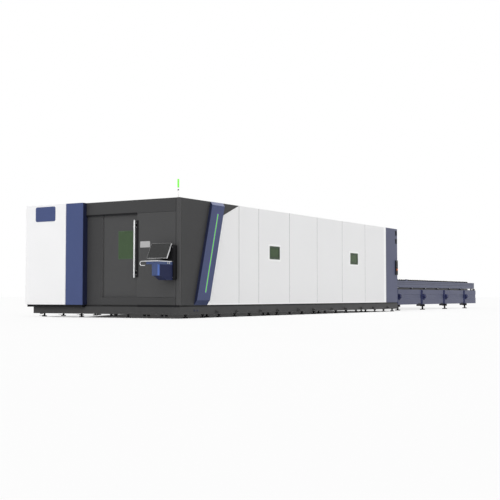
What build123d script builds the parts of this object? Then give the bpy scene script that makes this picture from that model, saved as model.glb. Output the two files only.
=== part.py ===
from build123d import *

import os
from math import atan2, cos, radians, sin, tan

os.makedirs("parts", exist_ok=True)

# Every size is in millimetres. X runs from the operator's front to the exchange table, Y to the left
# side as seen when looking from the front, Z up from the floor.

# Whole cabin
cabin_length = 11600.0
cabin_width = 4280.0
cabin_height = 2550.0
panel_thickness = 40.0
panel_gap = 8.0
edge_chamfer = 6.0
overrun = 20.0
running_gap = 0.3

# Plinth and levelling feet
floor_gap = 80.0
plinth_height = 200.0
plinth_width = 120.0
rebate_height = 30.0
rebate_depth = 25.0
left_plinth_inset = 147.0
base_plate_inset = 50.0
base_plate_length = 900.0
foot_pad_diameter = 116.0
foot_pad_height = 22.0
foot_stud_diameter = 44.0
foot_spacing = 640.0
foot_end_margin = 300.0
foot_pad_sides = 12
foot_stud_sides = 8
front_foot_shares = (0.33, 0.67)

# Front wall
front_depth = 55.0
corner_post_width = 104.0
infill_width = 1026.0
doorway_width = 982.0
sill_height = 168.0
header_height = 290.0
left_panel_width = 449.0
left_panel_setback = 35.0
front_pillar_width = 498.0
cabinet_proud = 125.0
cabinet_edge_radius = 14.0

# Sliding front door
door_thickness = 40.0
door_clearance = 5.0
door_lap = 30.0
door_slack = 16.0
window_width = 390.0
window_height = 580.0
window_from_edge = 150.0
window_base = 847.0
pane_thickness = 12.0
pane_proud = 2.0
handle_diameter = 40.0
handle_end_radius = 5.0
handle_length = 1246.0
handle_from_edge = 56.0
handle_reach = 80.0
handle_base = 420.0
standoff_diameter = 26.0
standoff_inset = 110.0
door_rail_height = 40.0
door_rail_depth = 30.0
door_rail_drop = 130.0
hanger_width = 160.0
hanger_thickness = 10.0
hanger_inset = 90.0

# Right side: slanted pillar with its light strip, dark panels and white panels
pillar_start = 530.0
pillar_width = 497.0
pillar_lean_share = 0.28
pillar_proud = 60.0
facet_bottom = 105.0
facet_top = 75.0
strip_width = 42.0
strip_base = 551.0
strip_top = 2289.0
strip_offset = 26.0
strip_groove = 10.0
strip_proud = 1.0
lead_length = 2338.0
wedge_drop = 309.0
short_panel_length = 885.0
long_panel_count = 5
window_panel_indices = (0, 3)
side_window_width = 494.0
side_window_height = 318.0
side_window_base = 1366.0
window_frame_width = 34.0
window_frame_proud = 8.0

# Left side and roof
left_panel_count = 7
roof_panel_count = 6

# Rear portal and its gate
portal_length = 881.0
port_clearance = 140.0
gate_thickness = 40.0
gate_lap = 40.0
gate_margin = 15.0
gate_edge_lap = 30.0
port_sill_gap = 35.0
vent_width = 134.0
vent_height = 147.0
vent_depth = 20.0
vent_from_rear = 29.0
vent_drops = (62.0, 312.0)

# Exchange table
table_length = 9320.0
table_side_inset = 620.0
table_side_thickness = 24.0
table_side_base = 186.0
table_side_height = 500.0
table_band_depth = 10.0
table_band_share = 0.29
table_band_base_share = 0.4
table_foot_count = 4
table_first_foot = 1500.0
table_foot_spacing = 2181.0
table_pad_diameter = 170.0
table_pad_height = 30.0
table_stud_diameter = 60.0
table_nut_diameter = 170.0
table_nut_height = 70.0
table_pad_sides = 16
table_stud_sides = 10
table_nut_sides = 6
cross_beam_width = 330.0
cross_beam_height = 36.0
cross_beam_offset = 265.0
foot_block_depth = 60.0
foot_block_height = 56.0
post_width = 140.0
post_proud = 12.0
post_offset = 89.0
disc_hub_diameter = 120.0
disc_diameter = 150.0
disc_proud = 85.0
disc_edge_radius = 35.0
disc_offset = 111.0

# Pallets and the exchange lift
track_gap = 69.0
pallet_beam_height = 225.0
pallet_beam_width = 80.0
slat_rise = 50.0
slat_height = 200.0
slat_thickness = 8.0
slat_pitch = 160.0
slat_start = 70.0
slat_end_margin = 400.0
pallet_start_gap = 100.0
pallet_end_margin = 60.0
pallet_web_gap = 6.0
pallet_pin_length = 120.0
pallet_pin_width = 50.0
pallet_pin_from_start = 2320.0
wheel_diameter = 110.0
wheel_width = 36.0
wheel_count = 8
wheel_inset = 300.0
wheel_face_inset = 10.0
cross_bar_count = 3
cross_bar_width = 100.0
lift_clearance = 2.0
lift_web_thickness = 8.0
lift_beam_height = 36.0
track_width = 60.0
track_height = 50.0
track_flange_width = 8.0
track_flange_height = 46.0
lift_track_gap = 10.0

# Bed and gantry
bed_start = 1300.0
bed_end_gap = 250.0
bed_beam_width = 160.0
bed_beam_clearance = 40.0
bed_cross_width = 240.0
bed_cross_count = 8
bed_cross_clearance = 30.0
bed_above_slats = 30.0
bed_foot_shares = (0.05, 0.35, 0.65, 0.95)
gantry_rail_width = 80.0
gantry_rail_height = 40.0
truck_length = 700.0
truck_height = 150.0
truck_wall_gap = 140.0
truck_motor_size = 150.0
truck_motor_height = 260.0
truck_motor_radius = 25.0
truck_chamfer = 50.0
gantry_beam_depth = 300.0
gantry_beam_height = 350.0
gantry_beam_chamfer = 50.0
gantry_park = 500.0
beam_way_width = 40.0
beam_way_proud = 16.0
beam_way_inset = 50.0
carriage_width = 320.0
carriage_thickness = 60.0
carriage_margin = 40.0
carriage_radius = 20.0
head_slide_width = 180.0
head_slide_thickness = 50.0
head_slide_height = 480.0
head_stroke = 315.0
head_low_gap = 22.0
head_body_width = 110.0
head_body_height = 300.0
head_body_radius = 14.0
head_barrel_diameter = 84.0
head_barrel_height = 120.0
nozzle_diameter = 36.0
nozzle_tip_diameter = 12.0
nozzle_height = 46.0
head_reach = 95.0

# Operator console
console_reach = 640.0
box_side_gap = 67.0
box_width = 345.0
box_depth = 120.0
box_base = 810.0
box_top = 1545.0
box_radius = 40.0
arm_side_gap = 96.0
arm_width = 200.0
arm_front_inset = 40.0
arm_front_base = 893.0
arm_front_flat = 91.0
arm_root_base = 807.0
arm_root_flat = 204.0
arm_top = 1127.0
arm_chamfer = 30.0
shelf_width = 320.0
tray_base = 1185.0
tray_thickness = 16.0
tray_width = 334.0
tray_radius = 18.0
grip_diameter = 16.0
grip_length = 146.0
grip_drop = 86.0
grip_bend_radius = 38.7
grip_inset = 24.0
keyboard_width = 290.0
keyboard_depth = 170.0
keyboard_height = 22.0
keyboard_front_share = 0.5
keyboard_setback = 30.0
monitor_width = 520.0
monitor_height = 362.0
monitor_thickness = 30.0
monitor_tilt = 28.0
monitor_side_gap = 111.0
monitor_base = 1265.0
monitor_front = 310.0
monitor_bezel = 14.0
monitor_recess = 3.0
monitor_radius = 10.0
bracket_width = 150.0
bracket_height = 245.0
console_button_count = 2
console_button_diameter = 22.0
console_button_spacing = 60.0
console_button_proud = 9.0
console_button_travel = 4.0
console_button_setback = 300.0
button_stem_share = 0.5
button_bore_clearance = 0.3
button_stem_length = 20.0

# Rear control box
rear_box_width = 157.0
rear_box_height = 452.0
rear_box_depth = 30.0
rear_box_base = 1123.0
rear_box_from_rear = 21.0
rear_box_radius = 10.0
stop_height_share = 0.37
stop_stem_diameter = 26.0
stop_cap_diameter = 44.0
stop_cap_height = 16.0
stop_cap_radius = 5.3
stop_travel = 5.0

# Tower light
tower_from_front = 110.0
tower_from_side = 120.0
tower_base_diameter = 60.0
tower_base_height = 16.0
tower_pole_diameter = 22.0
tower_pole_height = 206.0
tower_lamp_diameter = 38.0
tower_lamp_height = 165.0
tower_cap_height = 14.0
tower_cap_radius = 7.0

# Laser source inside the front cabinet
source_from_front = 260.0
source_length = 800.0
source_width = 760.0
source_height = 1350.0
source_radius = 20.0

# Places that follow from the sizes above
front_x = console_reach - (console_reach + cabin_length + table_length) / 2
rear_x = front_x + cabin_length
portal_x = rear_x - portal_length
right_y = -cabin_width / 2
left_y = cabin_width / 2
plinth_top = floor_gap + plinth_height
roof_base = cabin_height - panel_thickness
wall_x = front_x + front_depth
doorway_base = plinth_top + sill_height
doorway_top = cabin_height - header_height
infill_y = right_y + corner_post_width
doorway_y = infill_y + infill_width
doorway_end_y = doorway_y + doorway_width
front_pillar_y = doorway_end_y + left_panel_width
cabinet_y = front_pillar_y + front_pillar_width
table_side_y = cabin_width / 2 - table_side_inset
table_side_top = table_side_base + table_side_height
pallet_base = table_side_top + track_gap
pallet_beam_top = pallet_base + pallet_beam_height
slat_top = pallet_beam_top + slat_rise
wheel_base = pallet_base - wheel_diameter / 2
track_top = wheel_base - running_gap
lift_web_y = table_side_y - table_side_thickness - lift_clearance - lift_web_thickness
pallet_side_y = lift_web_y - pallet_web_gap
track_y = lift_web_y - track_width
lift_stroke = slat_top - track_top + track_height + lift_track_gap
pallet_x = rear_x + pallet_start_gap
pallet_length = table_length - pallet_start_gap - pallet_end_margin
slat_field_length = pallet_length - 2 * pallet_beam_width - slat_start - slat_end_margin
port_y = table_side_y + port_clearance
port_base = slat_top + port_sill_gap
gate_height = (roof_base - gate_margin - port_base + gate_lap) / 2
gate_raise = gate_height - gate_lap
port_top = port_base + gate_raise
bed_beam_y = table_side_y + bed_beam_clearance
bed_top = slat_top + bed_above_slats
rail_top = bed_top + gantry_rail_height
truck_top = rail_top + truck_height
truck_end_y = cabin_width / 2 - panel_thickness - truck_wall_gap
gantry_beam_top = truck_top + gantry_beam_height
gantry_x = front_x + bed_start + gantry_park
nozzle_low = slat_top + head_low_gap
nozzle_base = nozzle_low + head_stroke
tray_top = tray_base + tray_thickness


def side_plane(y):
    """Upright plane facing the right side, sketched in x and z."""
    return Plane.XZ.offset(-y)


def cross_plane(x):
    """Upright plane across the machine, sketched in y and z."""
    return Plane.YZ.offset(x)


def level_plane(z):
    """Level plane at a height, sketched in x and y."""
    return Plane.XY.offset(z)


def span(a_start, a_end, b_start, b_end, mode=Mode.ADD):
    """Sketch rectangle between two corners."""
    with Locations(((a_start + a_end) / 2, (b_start + b_end) / 2)):
        Rectangle(a_end - a_start, b_end - b_start, mode=mode)


def keep(piece, name):
    """Label a finished piece and write its file."""
    piece.label = name
    export_step(piece, f"parts/{name}.step")


def pillar_edge(height, across):
    """Place along x of a line on the slanted pillar, at a height."""
    return front_x + pillar_start + across + pillar_lean_share * (height - plinth_top)


# Plinth beams with a shadow rebate under the panels
def plinth_profile(outer, inner, sign):
    """Section of a plinth beam, its rebate on the outer side."""
    shoulder = plinth_top - rebate_height
    step = outer + sign * rebate_depth
    points = [
        (outer, floor_gap),
        (inner, floor_gap),
        (inner, plinth_top),
        (step, plinth_top),
        (step, shoulder),
        (outer, shoulder),
    ]
    Polyline(*points, close=True)


left_plinth_y = left_y - left_plinth_inset
left_plinth_inner_y = left_plinth_y - plinth_width
source_x = wall_x + source_from_front
source_end_x = source_x + source_length
source_y = left_plinth_inner_y - source_width
with BuildPart() as plinth_sides:
    with BuildSketch(cross_plane(front_x)):
        with BuildLine():
            plinth_profile(right_y, right_y + plinth_width, 1)
        make_face()
        with BuildLine():
            plinth_profile(left_plinth_y, left_plinth_inner_y, -1)
        make_face()
    extrude(amount=cabin_length)
    with BuildSketch(level_plane(plinth_top - rebate_height)):
        plate_x = front_x + rebate_depth
        plate_end_x = plate_x + base_plate_length
        span(plate_x, plate_end_x, left_plinth_y - rebate_depth, left_y - base_plate_inset)
        span(front_x + plinth_width, source_end_x, source_y, left_plinth_inner_y)
    extrude(amount=rebate_height)
keep(plinth_sides.part, "plinth_sides")

plinth_span = left_plinth_y - right_y - 2 * plinth_width
with BuildPart() as plinth_front:
    with BuildSketch(side_plane(right_y + plinth_width)):
        with BuildLine():
            plinth_profile(front_x, front_x + plinth_width, 1)
        make_face()
    extrude(amount=-plinth_span)
keep(plinth_front.part, "plinth_front")

# Levelling feet under the plinth and the bed beams
foot_row_length = cabin_length - 2 * foot_end_margin
foot_count = int(foot_row_length // foot_spacing) + 1
foot_pitch = foot_row_length / (foot_count - 1)
foot_xs = [front_x + foot_end_margin + foot_pitch * i for i in range(foot_count)]
foot_rows = [right_y + plinth_width / 2, left_plinth_y - plinth_width / 2]
foot_places = [(x, y) for x in foot_xs for y in foot_rows]
front_foot_ys = [right_y + plinth_width + plinth_span * share for share in front_foot_shares]
foot_places += [(front_x + plinth_width / 2, y) for y in front_foot_ys]
bed_length = portal_x - bed_end_gap - front_x - bed_start
bed_xs = [front_x + bed_start + bed_length * share for share in bed_foot_shares]
bed_mid_y = bed_beam_y + bed_beam_width / 2
foot_places += [(x, y) for x in bed_xs for y in (-bed_mid_y, bed_mid_y)]
with BuildPart() as levelling_feet:
    with BuildSketch(level_plane(0)):
        with Locations(*foot_places):
            RegularPolygon(foot_pad_diameter / 2, foot_pad_sides)
    extrude(amount=foot_pad_height)
    with BuildSketch(level_plane(foot_pad_height)):
        with Locations(*foot_places):
            RegularPolygon(foot_stud_diameter / 2, foot_stud_sides)
    extrude(amount=floor_gap - foot_pad_height)
keep(levelling_feet.part, "levelling_feet")


# Front wall: each piece is a flat panel with chamfered outer edges
def front_panel(y_start, y_end, z_start, z_end, x_start=front_x):
    """Panel of the front wall, chamfered round its face."""
    with BuildPart() as panel:
        with BuildSketch(cross_plane(x_start)):
            span(y_start, y_end, z_start, z_end)
        extrude(amount=wall_x - x_start)
        chamfer(panel.faces().sort_by(Axis.X)[0].edges(), length=edge_chamfer)
    return panel.part


keep(front_panel(right_y, infill_y - panel_gap, plinth_top, cabin_height), "corner_post")
keep(front_panel(infill_y, front_pillar_y, doorway_top, cabin_height), "front_header")
keep(front_panel(infill_y, doorway_end_y, plinth_top, doorway_base), "front_sill")
keep(front_panel(infill_y, doorway_y, doorway_base, doorway_top), "front_fixed_panel")
left_panel_x = front_x + left_panel_setback
keep(front_panel(doorway_end_y, front_pillar_y, plinth_top, doorway_top, left_panel_x), "front_left_panel")

cabinet_x = front_x - cabinet_proud
with BuildPart() as front_pillar:
    with BuildSketch(level_plane(plinth_top)):
        span(cabinet_x, wall_x, front_pillar_y, cabinet_y)
    extrude(amount=cabin_height - plinth_top)
    pillar_corners = front_pillar.edges().filter_by(Axis.Z).group_by(Axis.X)[0]
    chamfer(pillar_corners, length=cabinet_edge_radius)
keep(front_pillar.part, "front_pillar")

with BuildPart() as front_cabinet:
    with BuildSketch(level_plane(plinth_top)):
        span(cabinet_x, wall_x, cabinet_y, left_y)
    extrude(amount=cabin_height - plinth_top)
    cabinet_corners = front_cabinet.edges().filter_by(Axis.Z).group_by(Axis.X)[0]
    fillet(cabinet_corners, radius=cabinet_edge_radius)
    chamfer(front_cabinet.faces().sort_by(Axis.X)[0].edges().filter_by(Axis.Y), length=edge_chamfer)
keep(front_cabinet.part, "front_cabinet")

# Sliding front door behind the front wall
door_x = wall_x + door_clearance
door_y = doorway_y - door_lap
door_end_y = doorway_end_y + door_lap
door_base = doorway_base - door_lap
door_top = doorway_top + door_lap
pane_y = door_y + door_lap + window_from_edge
pane_base = doorway_base + window_base
with BuildPart() as front_door:
    with BuildSketch(cross_plane(door_x)):
        span(door_y, door_end_y, door_base, door_top)
        span(pane_y, pane_y + window_width, pane_base, pane_base + window_height, mode=Mode.SUBTRACT)
    extrude(amount=door_thickness)
keep(front_door.part, "front_door")

with BuildPart() as door_window:
    with BuildSketch(cross_plane(door_x - pane_proud)):
        span(pane_y, pane_y + window_width, pane_base, pane_base + window_height)
    extrude(amount=pane_thickness)
keep(door_window.part, "door_window")

handle_y = doorway_y + handle_from_edge
handle_x = door_x - handle_reach
handle_start = doorway_base + handle_base
with BuildPart() as door_handle:
    with BuildSketch(level_plane(handle_start)):
        with Locations((handle_x, handle_y)):
            Circle(handle_diameter / 2)
    extrude(amount=handle_length)
    fillet(door_handle.edges().filter_by(GeomType.CIRCLE), radius=handle_end_radius)
    with BuildSketch(cross_plane(door_x)):
        with Locations(
            (handle_y, handle_start + standoff_inset),
            (handle_y, handle_start + handle_length - standoff_inset),
        ):
            Circle(standoff_diameter / 2)
    extrude(amount=-handle_reach)
keep(door_handle.part, "door_handle")

door_travel = doorway_width - handle_from_edge - handle_diameter / 2 - door_slack
rail_base = cabin_height - door_rail_drop
with BuildPart() as door_rail:
    with BuildSketch(cross_plane(wall_x)):
        span(door_y, door_end_y + door_travel, rail_base, rail_base + door_rail_height)
    extrude(amount=door_rail_depth)
keep(door_rail.part, "door_rail")

hanger_x = door_x + door_thickness
with BuildPart() as door_hangers:
    with BuildSketch(side_plane(door_y + hanger_inset)):
        with BuildLine():
            rail_crest = rail_base + door_rail_height
            hanger_crest = rail_crest + hanger_thickness
            Polyline(
                (hanger_x, door_top - hanger_width),
                (hanger_x + hanger_thickness, door_top - hanger_width),
                (hanger_x + hanger_thickness, hanger_crest),
                (wall_x + door_clearance, hanger_crest),
                (wall_x + door_clearance, rail_crest),
                (hanger_x, rail_crest),
                close=True,
            )
        make_face()
    extrude(amount=-hanger_width)
    hanger_middle = (door_y + door_end_y) / 2
    mirror(about=Plane.XZ.offset(-hanger_middle))
keep(door_hangers.part, "door_hangers")


# Right side: dark panels, slanted pillar, light strip and white panels
def side_panel(points, y=right_y, sign=1):
    """Panel of a side wall from its outline, chamfered round its outer face."""
    with BuildPart() as panel:
        with BuildSketch(side_plane(y)):
            with BuildLine():
                Polyline(*points, close=True)
            make_face()
        extrude(amount=-sign * panel_thickness)
        outer_face = panel.faces().sort_by(Axis.Y)[0 if sign > 0 else -1]
        chamfer(outer_face.edges(), length=edge_chamfer)
    return panel.part


def side_box(x_start, x_end, z_start=plinth_top, z_end=cabin_height):
    """Outline of a plain upright side panel."""
    return [(x_start, z_start), (x_end, z_start), (x_end, z_end), (x_start, z_end)]


lead_x = front_x + lead_length
wedge_base = cabin_height - wedge_drop
dark_outline = [
    (wall_x + panel_gap, plinth_top),
    (pillar_edge(plinth_top, 0), plinth_top),
    (pillar_edge(cabin_height, 0), cabin_height),
    (wall_x + panel_gap, cabin_height),
]
wedge_outline = [
    (pillar_edge(wedge_base, pillar_width), wedge_base),
    (lead_x, cabin_height),
    (pillar_edge(cabin_height, pillar_width), cabin_height),
]
with BuildPart() as right_dark_panels:
    add(side_panel(dark_outline))
    add(side_panel(wedge_outline))
keep(right_dark_panels.part, "right_dark_panels")

lead_outline = [
    (pillar_edge(plinth_top, pillar_width), plinth_top),
    (lead_x, plinth_top),
    (lead_x, cabin_height),
    (pillar_edge(wedge_base, pillar_width), wedge_base),
]
keep(side_panel(lead_outline), "right_lead_panel")

strip_middle = (strip_base + strip_top) / 2
strip_lean = atan2(1, pillar_lean_share)
strip_length = (strip_top - strip_base) / sin(strip_lean)
pillar_face_y = right_y - pillar_proud
strip_plane = Plane(
    origin=(pillar_edge(strip_middle, pillar_width / 2 + strip_offset), pillar_face_y, strip_middle),
    x_dir=(cos(strip_lean), 0, sin(strip_lean)),
    z_dir=(0, -1, 0),
)
with BuildPart() as right_slant_pillar:
    with BuildSketch(side_plane(right_y + panel_thickness)):
        with BuildLine():
            Polyline(
                (pillar_edge(plinth_top, 0), plinth_top),
                (pillar_edge(plinth_top, pillar_width), plinth_top),
                (pillar_edge(cabin_height, pillar_width), cabin_height),
                (pillar_edge(cabin_height, 0), cabin_height),
                close=True,
            )
        make_face()
    extrude(amount=panel_thickness + pillar_proud)
    with BuildSketch(cross_plane(front_x)):
        with BuildLine():
            Polyline(
                (pillar_face_y, plinth_top),
                (right_y, plinth_top),
                (pillar_face_y, plinth_top + facet_bottom),
                close=True,
            )
        make_face()
        with BuildLine():
            Polyline(
                (pillar_face_y, cabin_height),
                (right_y, cabin_height),
                (pillar_face_y, cabin_height - facet_top),
                close=True,
            )
        make_face()
    extrude(amount=cabin_length, mode=Mode.SUBTRACT)
    with BuildSketch(strip_plane):
        SlotOverall(strip_length, strip_width)
    extrude(amount=-strip_groove, mode=Mode.SUBTRACT)
keep(right_slant_pillar.part, "right_slant_pillar")

with BuildPart() as light_strip:
    with BuildSketch(strip_plane.offset(-strip_groove)):
        SlotOverall(strip_length, strip_width)
    extrude(amount=strip_groove + strip_proud)
keep(light_strip.part, "light_strip")

short_end_x = lead_x + short_panel_length
long_pitch = (portal_x - short_end_x) / long_panel_count
long_panel_xs = [short_end_x + long_pitch * index for index in range(long_panel_count)]
window_middles = [long_panel_xs[index] + long_pitch / 2 for index in window_panel_indices]
window_top = side_window_base + side_window_height
with BuildPart() as right_plain_panels:
    add(side_panel(side_box(lead_x + panel_gap, short_end_x)))
    for index, panel_x in enumerate(long_panel_xs):
        if index not in window_panel_indices:
            add(side_panel(side_box(panel_x + panel_gap, panel_x + long_pitch)))
keep(right_plain_panels.part, "right_plain_panels")

with BuildPart() as right_window_panels:
    for index in window_panel_indices:
        panel_x = long_panel_xs[index]
        add(side_panel(side_box(panel_x + panel_gap, panel_x + long_pitch)))
    with BuildSketch(side_plane(right_y - overrun)):
        for middle in window_middles:
            span(
                middle - side_window_width / 2,
                middle + side_window_width / 2,
                side_window_base,
                window_top,
            )
    extrude(amount=-panel_thickness - 2 * overrun, mode=Mode.SUBTRACT)
keep(right_window_panels.part, "right_window_panels")

window_middle_z = (side_window_base + window_top) / 2
window_places = [(middle, window_middle_z) for middle in window_middles]
frame_hole_width = side_window_width - 2 * window_frame_width
frame_hole_height = side_window_height - 2 * window_frame_width
with BuildPart() as side_window_frames:
    with BuildSketch(side_plane(right_y - window_frame_proud)):
        with Locations(*window_places):
            Rectangle(side_window_width, side_window_height)
            Rectangle(frame_hole_width, frame_hole_height, mode=Mode.SUBTRACT)
    extrude(amount=-panel_thickness - window_frame_proud)
keep(side_window_frames.part, "side_window_frames")

with BuildPart() as side_window_panes:
    with BuildSketch(side_plane(right_y)):
        with Locations(*window_places):
            Rectangle(frame_hole_width, frame_hole_height)
    extrude(amount=-pane_thickness)
keep(side_window_panes.part, "side_window_panes")

# Left side and roof: rows of plain panels
left_pitch = (portal_x - wall_x) / left_panel_count
with BuildPart() as left_panels:
    for index in range(left_panel_count):
        panel_x = wall_x + left_pitch * index
        add(side_panel(side_box(panel_x + panel_gap, panel_x + left_pitch), left_y, -1))
keep(left_panels.part, "left_panels")

roof_pitch = (portal_x - wall_x) / roof_panel_count
roof_side_y = left_y - panel_thickness
with BuildPart() as roof_panels:
    with BuildSketch(level_plane(roof_base)):
        for index in range(roof_panel_count):
            panel_x = wall_x + roof_pitch * index
            span(panel_x + panel_gap, panel_x + roof_pitch, -roof_side_y, roof_side_y)
    extrude(amount=panel_thickness)
    chamfer(roof_panels.faces().group_by(Axis.Z)[-1].edges(), length=edge_chamfer)
keep(roof_panels.part, "roof_panels")


# Rear portal: folded columns, a header with the portal's roof, and the lifting gate
def rear_column(side):
    """Folded column of the portal: outer wall and rear wall, on the right (-1) or left (1)."""
    outer = side * cabin_width / 2
    inner = side * port_y
    wall = outer - side * panel_thickness
    start_x = portal_x + panel_gap
    with BuildPart() as column:
        with BuildSketch(level_plane(plinth_top)):
            with BuildLine():
                Polyline(
                    (start_x, outer),
                    (rear_x, outer),
                    (rear_x, inner),
                    (rear_x - panel_thickness, inner),
                    (rear_x - panel_thickness, wall),
                    (start_x, wall),
                    close=True,
                )
            make_face()
        extrude(amount=cabin_height - plinth_top)
        rear_edges = column.edges().filter_by(Axis.Z).group_by(Axis.X)[-1].sort_by(Axis.Y)
        chamfer(rear_edges[0 if side < 0 else -1], length=edge_chamfer)
    return column.part


vent_x = rear_x - vent_from_rear - vent_width / 2
vent_places = [(vent_x, cabin_height - drop - vent_height / 2) for drop in vent_drops]
with BuildPart() as rear_columns:
    add(rear_column(-1))
    add(rear_column(1))
    with BuildSketch(side_plane(right_y)):
        with Locations(*vent_places):
            Rectangle(vent_width, vent_height)
    extrude(amount=-vent_depth, mode=Mode.SUBTRACT)
keep(rear_columns.part, "rear_columns")

wall_inner_x = rear_x - panel_thickness
with BuildPart() as rear_header:
    with BuildSketch(cross_plane(wall_inner_x)):
        span(-port_y, port_y, port_top, cabin_height)
    extrude(amount=panel_thickness)
    with BuildSketch(level_plane(roof_base)):
        span(portal_x + panel_gap, wall_inner_x, -roof_side_y, roof_side_y)
    extrude(amount=panel_thickness)
keep(rear_header.part, "rear_header")

with BuildPart() as rear_gate:
    with BuildSketch(cross_plane(wall_inner_x)):
        span(-port_y - gate_edge_lap, port_y + gate_edge_lap, port_top, port_top + gate_height)
    extrude(amount=-gate_thickness)
    chamfer(rear_gate.edges().group_by(Axis.Z)[0], length=edge_chamfer)
keep(rear_gate.part, "rear_gate")

# Bed: side beams on the floor feet, cross members, pallet tracks and gantry rails
bed_x = front_x + bed_start
with BuildPart() as bed_beams:
    with BuildSketch(cross_plane(bed_x)):
        for side in (-1, 1):
            with Locations((side * bed_mid_y, (floor_gap + bed_top) / 2)):
                Rectangle(bed_beam_width, bed_top - floor_gap)
    extrude(amount=bed_length)
keep(bed_beams.part, "bed_beams")

lower_wheel_base = wheel_base - lift_stroke
bed_cross_top = lower_wheel_base - bed_cross_clearance
bed_cross_pitch = (bed_length - bed_cross_width) / (bed_cross_count - 1)
with BuildPart() as bed_cross_members:
    with BuildSketch(level_plane(floor_gap)):
        for index in range(bed_cross_count):
            cross_x = bed_x + bed_cross_pitch * index
            cross_end_x = cross_x + bed_cross_width
            span(cross_x, cross_end_x, -bed_beam_y, bed_beam_y)
            span(cross_x, cross_end_x, right_y + plinth_width, -bed_beam_y - bed_beam_width)
            span(cross_x, cross_end_x, bed_beam_y + bed_beam_width, left_plinth_y - plinth_width)
    extrude(amount=bed_cross_top - floor_gap)
keep(bed_cross_members.part, "bed_cross_members")

with BuildPart() as bed_tracks:
    with BuildSketch(cross_plane(bed_x)):
        for side in (-1, 1):
            with Locations((side * (track_y + bed_beam_y) / 2, track_top - track_height / 2)):
                Rectangle(bed_beam_y - track_y, track_height)
    extrude(amount=rear_x - bed_x)
keep(bed_tracks.part, "bed_tracks")

with BuildPart() as gantry_rails:
    with BuildSketch(cross_plane(bed_x)):
        for side in (-1, 1):
            with Locations((side * bed_mid_y, bed_top + gantry_rail_height / 2)):
                Rectangle(gantry_rail_width, gantry_rail_height)
    extrude(amount=bed_length)
keep(gantry_rails.part, "gantry_rails")

# Gantry: trucks with drive motors, a beam with two ways, the carriage and the cutting head
truck_y = (bed_beam_y + truck_end_y) / 2
with BuildPart() as gantry_trucks:
    with BuildSketch(level_plane(rail_top)):
        with Locations((gantry_x, -truck_y), (gantry_x, truck_y)):
            Rectangle(truck_length, truck_end_y - bed_beam_y)
    extrude(amount=truck_height)
    chamfer(gantry_trucks.faces().group_by(Axis.Z)[-1].edges().filter_by(Axis.Y), length=truck_chamfer)
    motor_x = gantry_x - gantry_beam_depth / 2 - truck_motor_size / 2
    with BuildSketch(level_plane(truck_top)):
        with Locations((motor_x, -truck_y), (motor_x, truck_y)):
            RectangleRounded(truck_motor_size, truck_motor_size, truck_motor_radius)
    extrude(amount=truck_motor_height)
keep(gantry_trucks.part, "gantry_trucks")

beam_face_x = gantry_x + gantry_beam_depth / 2
way_heights = (truck_top + beam_way_inset, gantry_beam_top - beam_way_inset - beam_way_width)
with BuildPart() as gantry_beam:
    with BuildSketch(side_plane(truck_end_y)):
        span(gantry_x - gantry_beam_depth / 2, beam_face_x, truck_top, gantry_beam_top)
    extrude(amount=2 * truck_end_y)
    chamfer(gantry_beam.edges().filter_by(Axis.Y).group_by(Axis.X)[0], length=gantry_beam_chamfer)
    with BuildSketch(side_plane(truck_end_y)):
        for way_base in way_heights:
            span(beam_face_x, beam_face_x + beam_way_proud, way_base, way_base + beam_way_width)
    extrude(amount=2 * truck_end_y)
keep(gantry_beam.part, "gantry_beam")

way_face_x = beam_face_x + beam_way_proud
carriage_base = truck_top + carriage_margin
carriage_top = gantry_beam_top + carriage_margin
with BuildPart() as carriage:
    with BuildSketch(cross_plane(way_face_x)):
        span(-carriage_width / 2, carriage_width / 2, carriage_base, carriage_top)
    extrude(amount=carriage_thickness)
    fillet(carriage.edges().filter_by(Axis.X), radius=carriage_radius)
keep(carriage.part, "carriage")

slide_x = way_face_x + carriage_thickness
barrel_base = nozzle_base + nozzle_height
body_base = barrel_base + head_barrel_height
head_axis = (slide_x + head_reach, 0)
with BuildPart() as cutting_head:
    with BuildSketch(cross_plane(slide_x)):
        span(-head_slide_width / 2, head_slide_width / 2, body_base, body_base + head_slide_height)
    extrude(amount=head_slide_thickness)
    with BuildSketch(level_plane(body_base)):
        with Locations(head_axis):
            RectangleRounded(head_body_width, head_body_width, head_body_radius)
    extrude(amount=head_body_height)
    with BuildSketch(level_plane(barrel_base)):
        with Locations(head_axis):
            Circle(head_barrel_diameter / 2)
    extrude(amount=head_barrel_height)
keep(cutting_head.part, "cutting_head")

with BuildPart() as nozzle:
    with BuildSketch(level_plane(barrel_base)):
        with Locations(head_axis):
            Circle(nozzle_diameter / 2)
    with BuildSketch(level_plane(nozzle_base)):
        with Locations(head_axis):
            Circle(nozzle_tip_diameter / 2)
    loft()
keep(nozzle.part, "nozzle")

# Exchange table: banded side panels, covers of the lift drive, cross beams and feet
table_feet_xs = [rear_x + table_first_foot + table_foot_spacing * i for i in range(table_foot_count)]
band_base = table_side_base + table_side_height * table_band_base_share
band_top = band_base + table_side_height * table_band_share
with BuildPart() as table_sides:
    for side in (-1, 1):
        face = side * table_side_y
        inner = side * (table_side_y - table_side_thickness)
        sunk = side * (table_side_y - table_band_depth)
        with BuildSketch(cross_plane(rear_x)):
            with BuildLine():
                Polyline(
                    (inner, table_side_base),
                    (face, table_side_base),
                    (face, band_base),
                    (sunk, band_base + table_band_depth),
                    (sunk, band_top - table_band_depth),
                    (face, band_top),
                    (face, table_side_top),
                    (inner, table_side_top),
                    close=True,
                )
            make_face()
        extrude(amount=table_length)
keep(table_sides.part, "table_sides")

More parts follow.
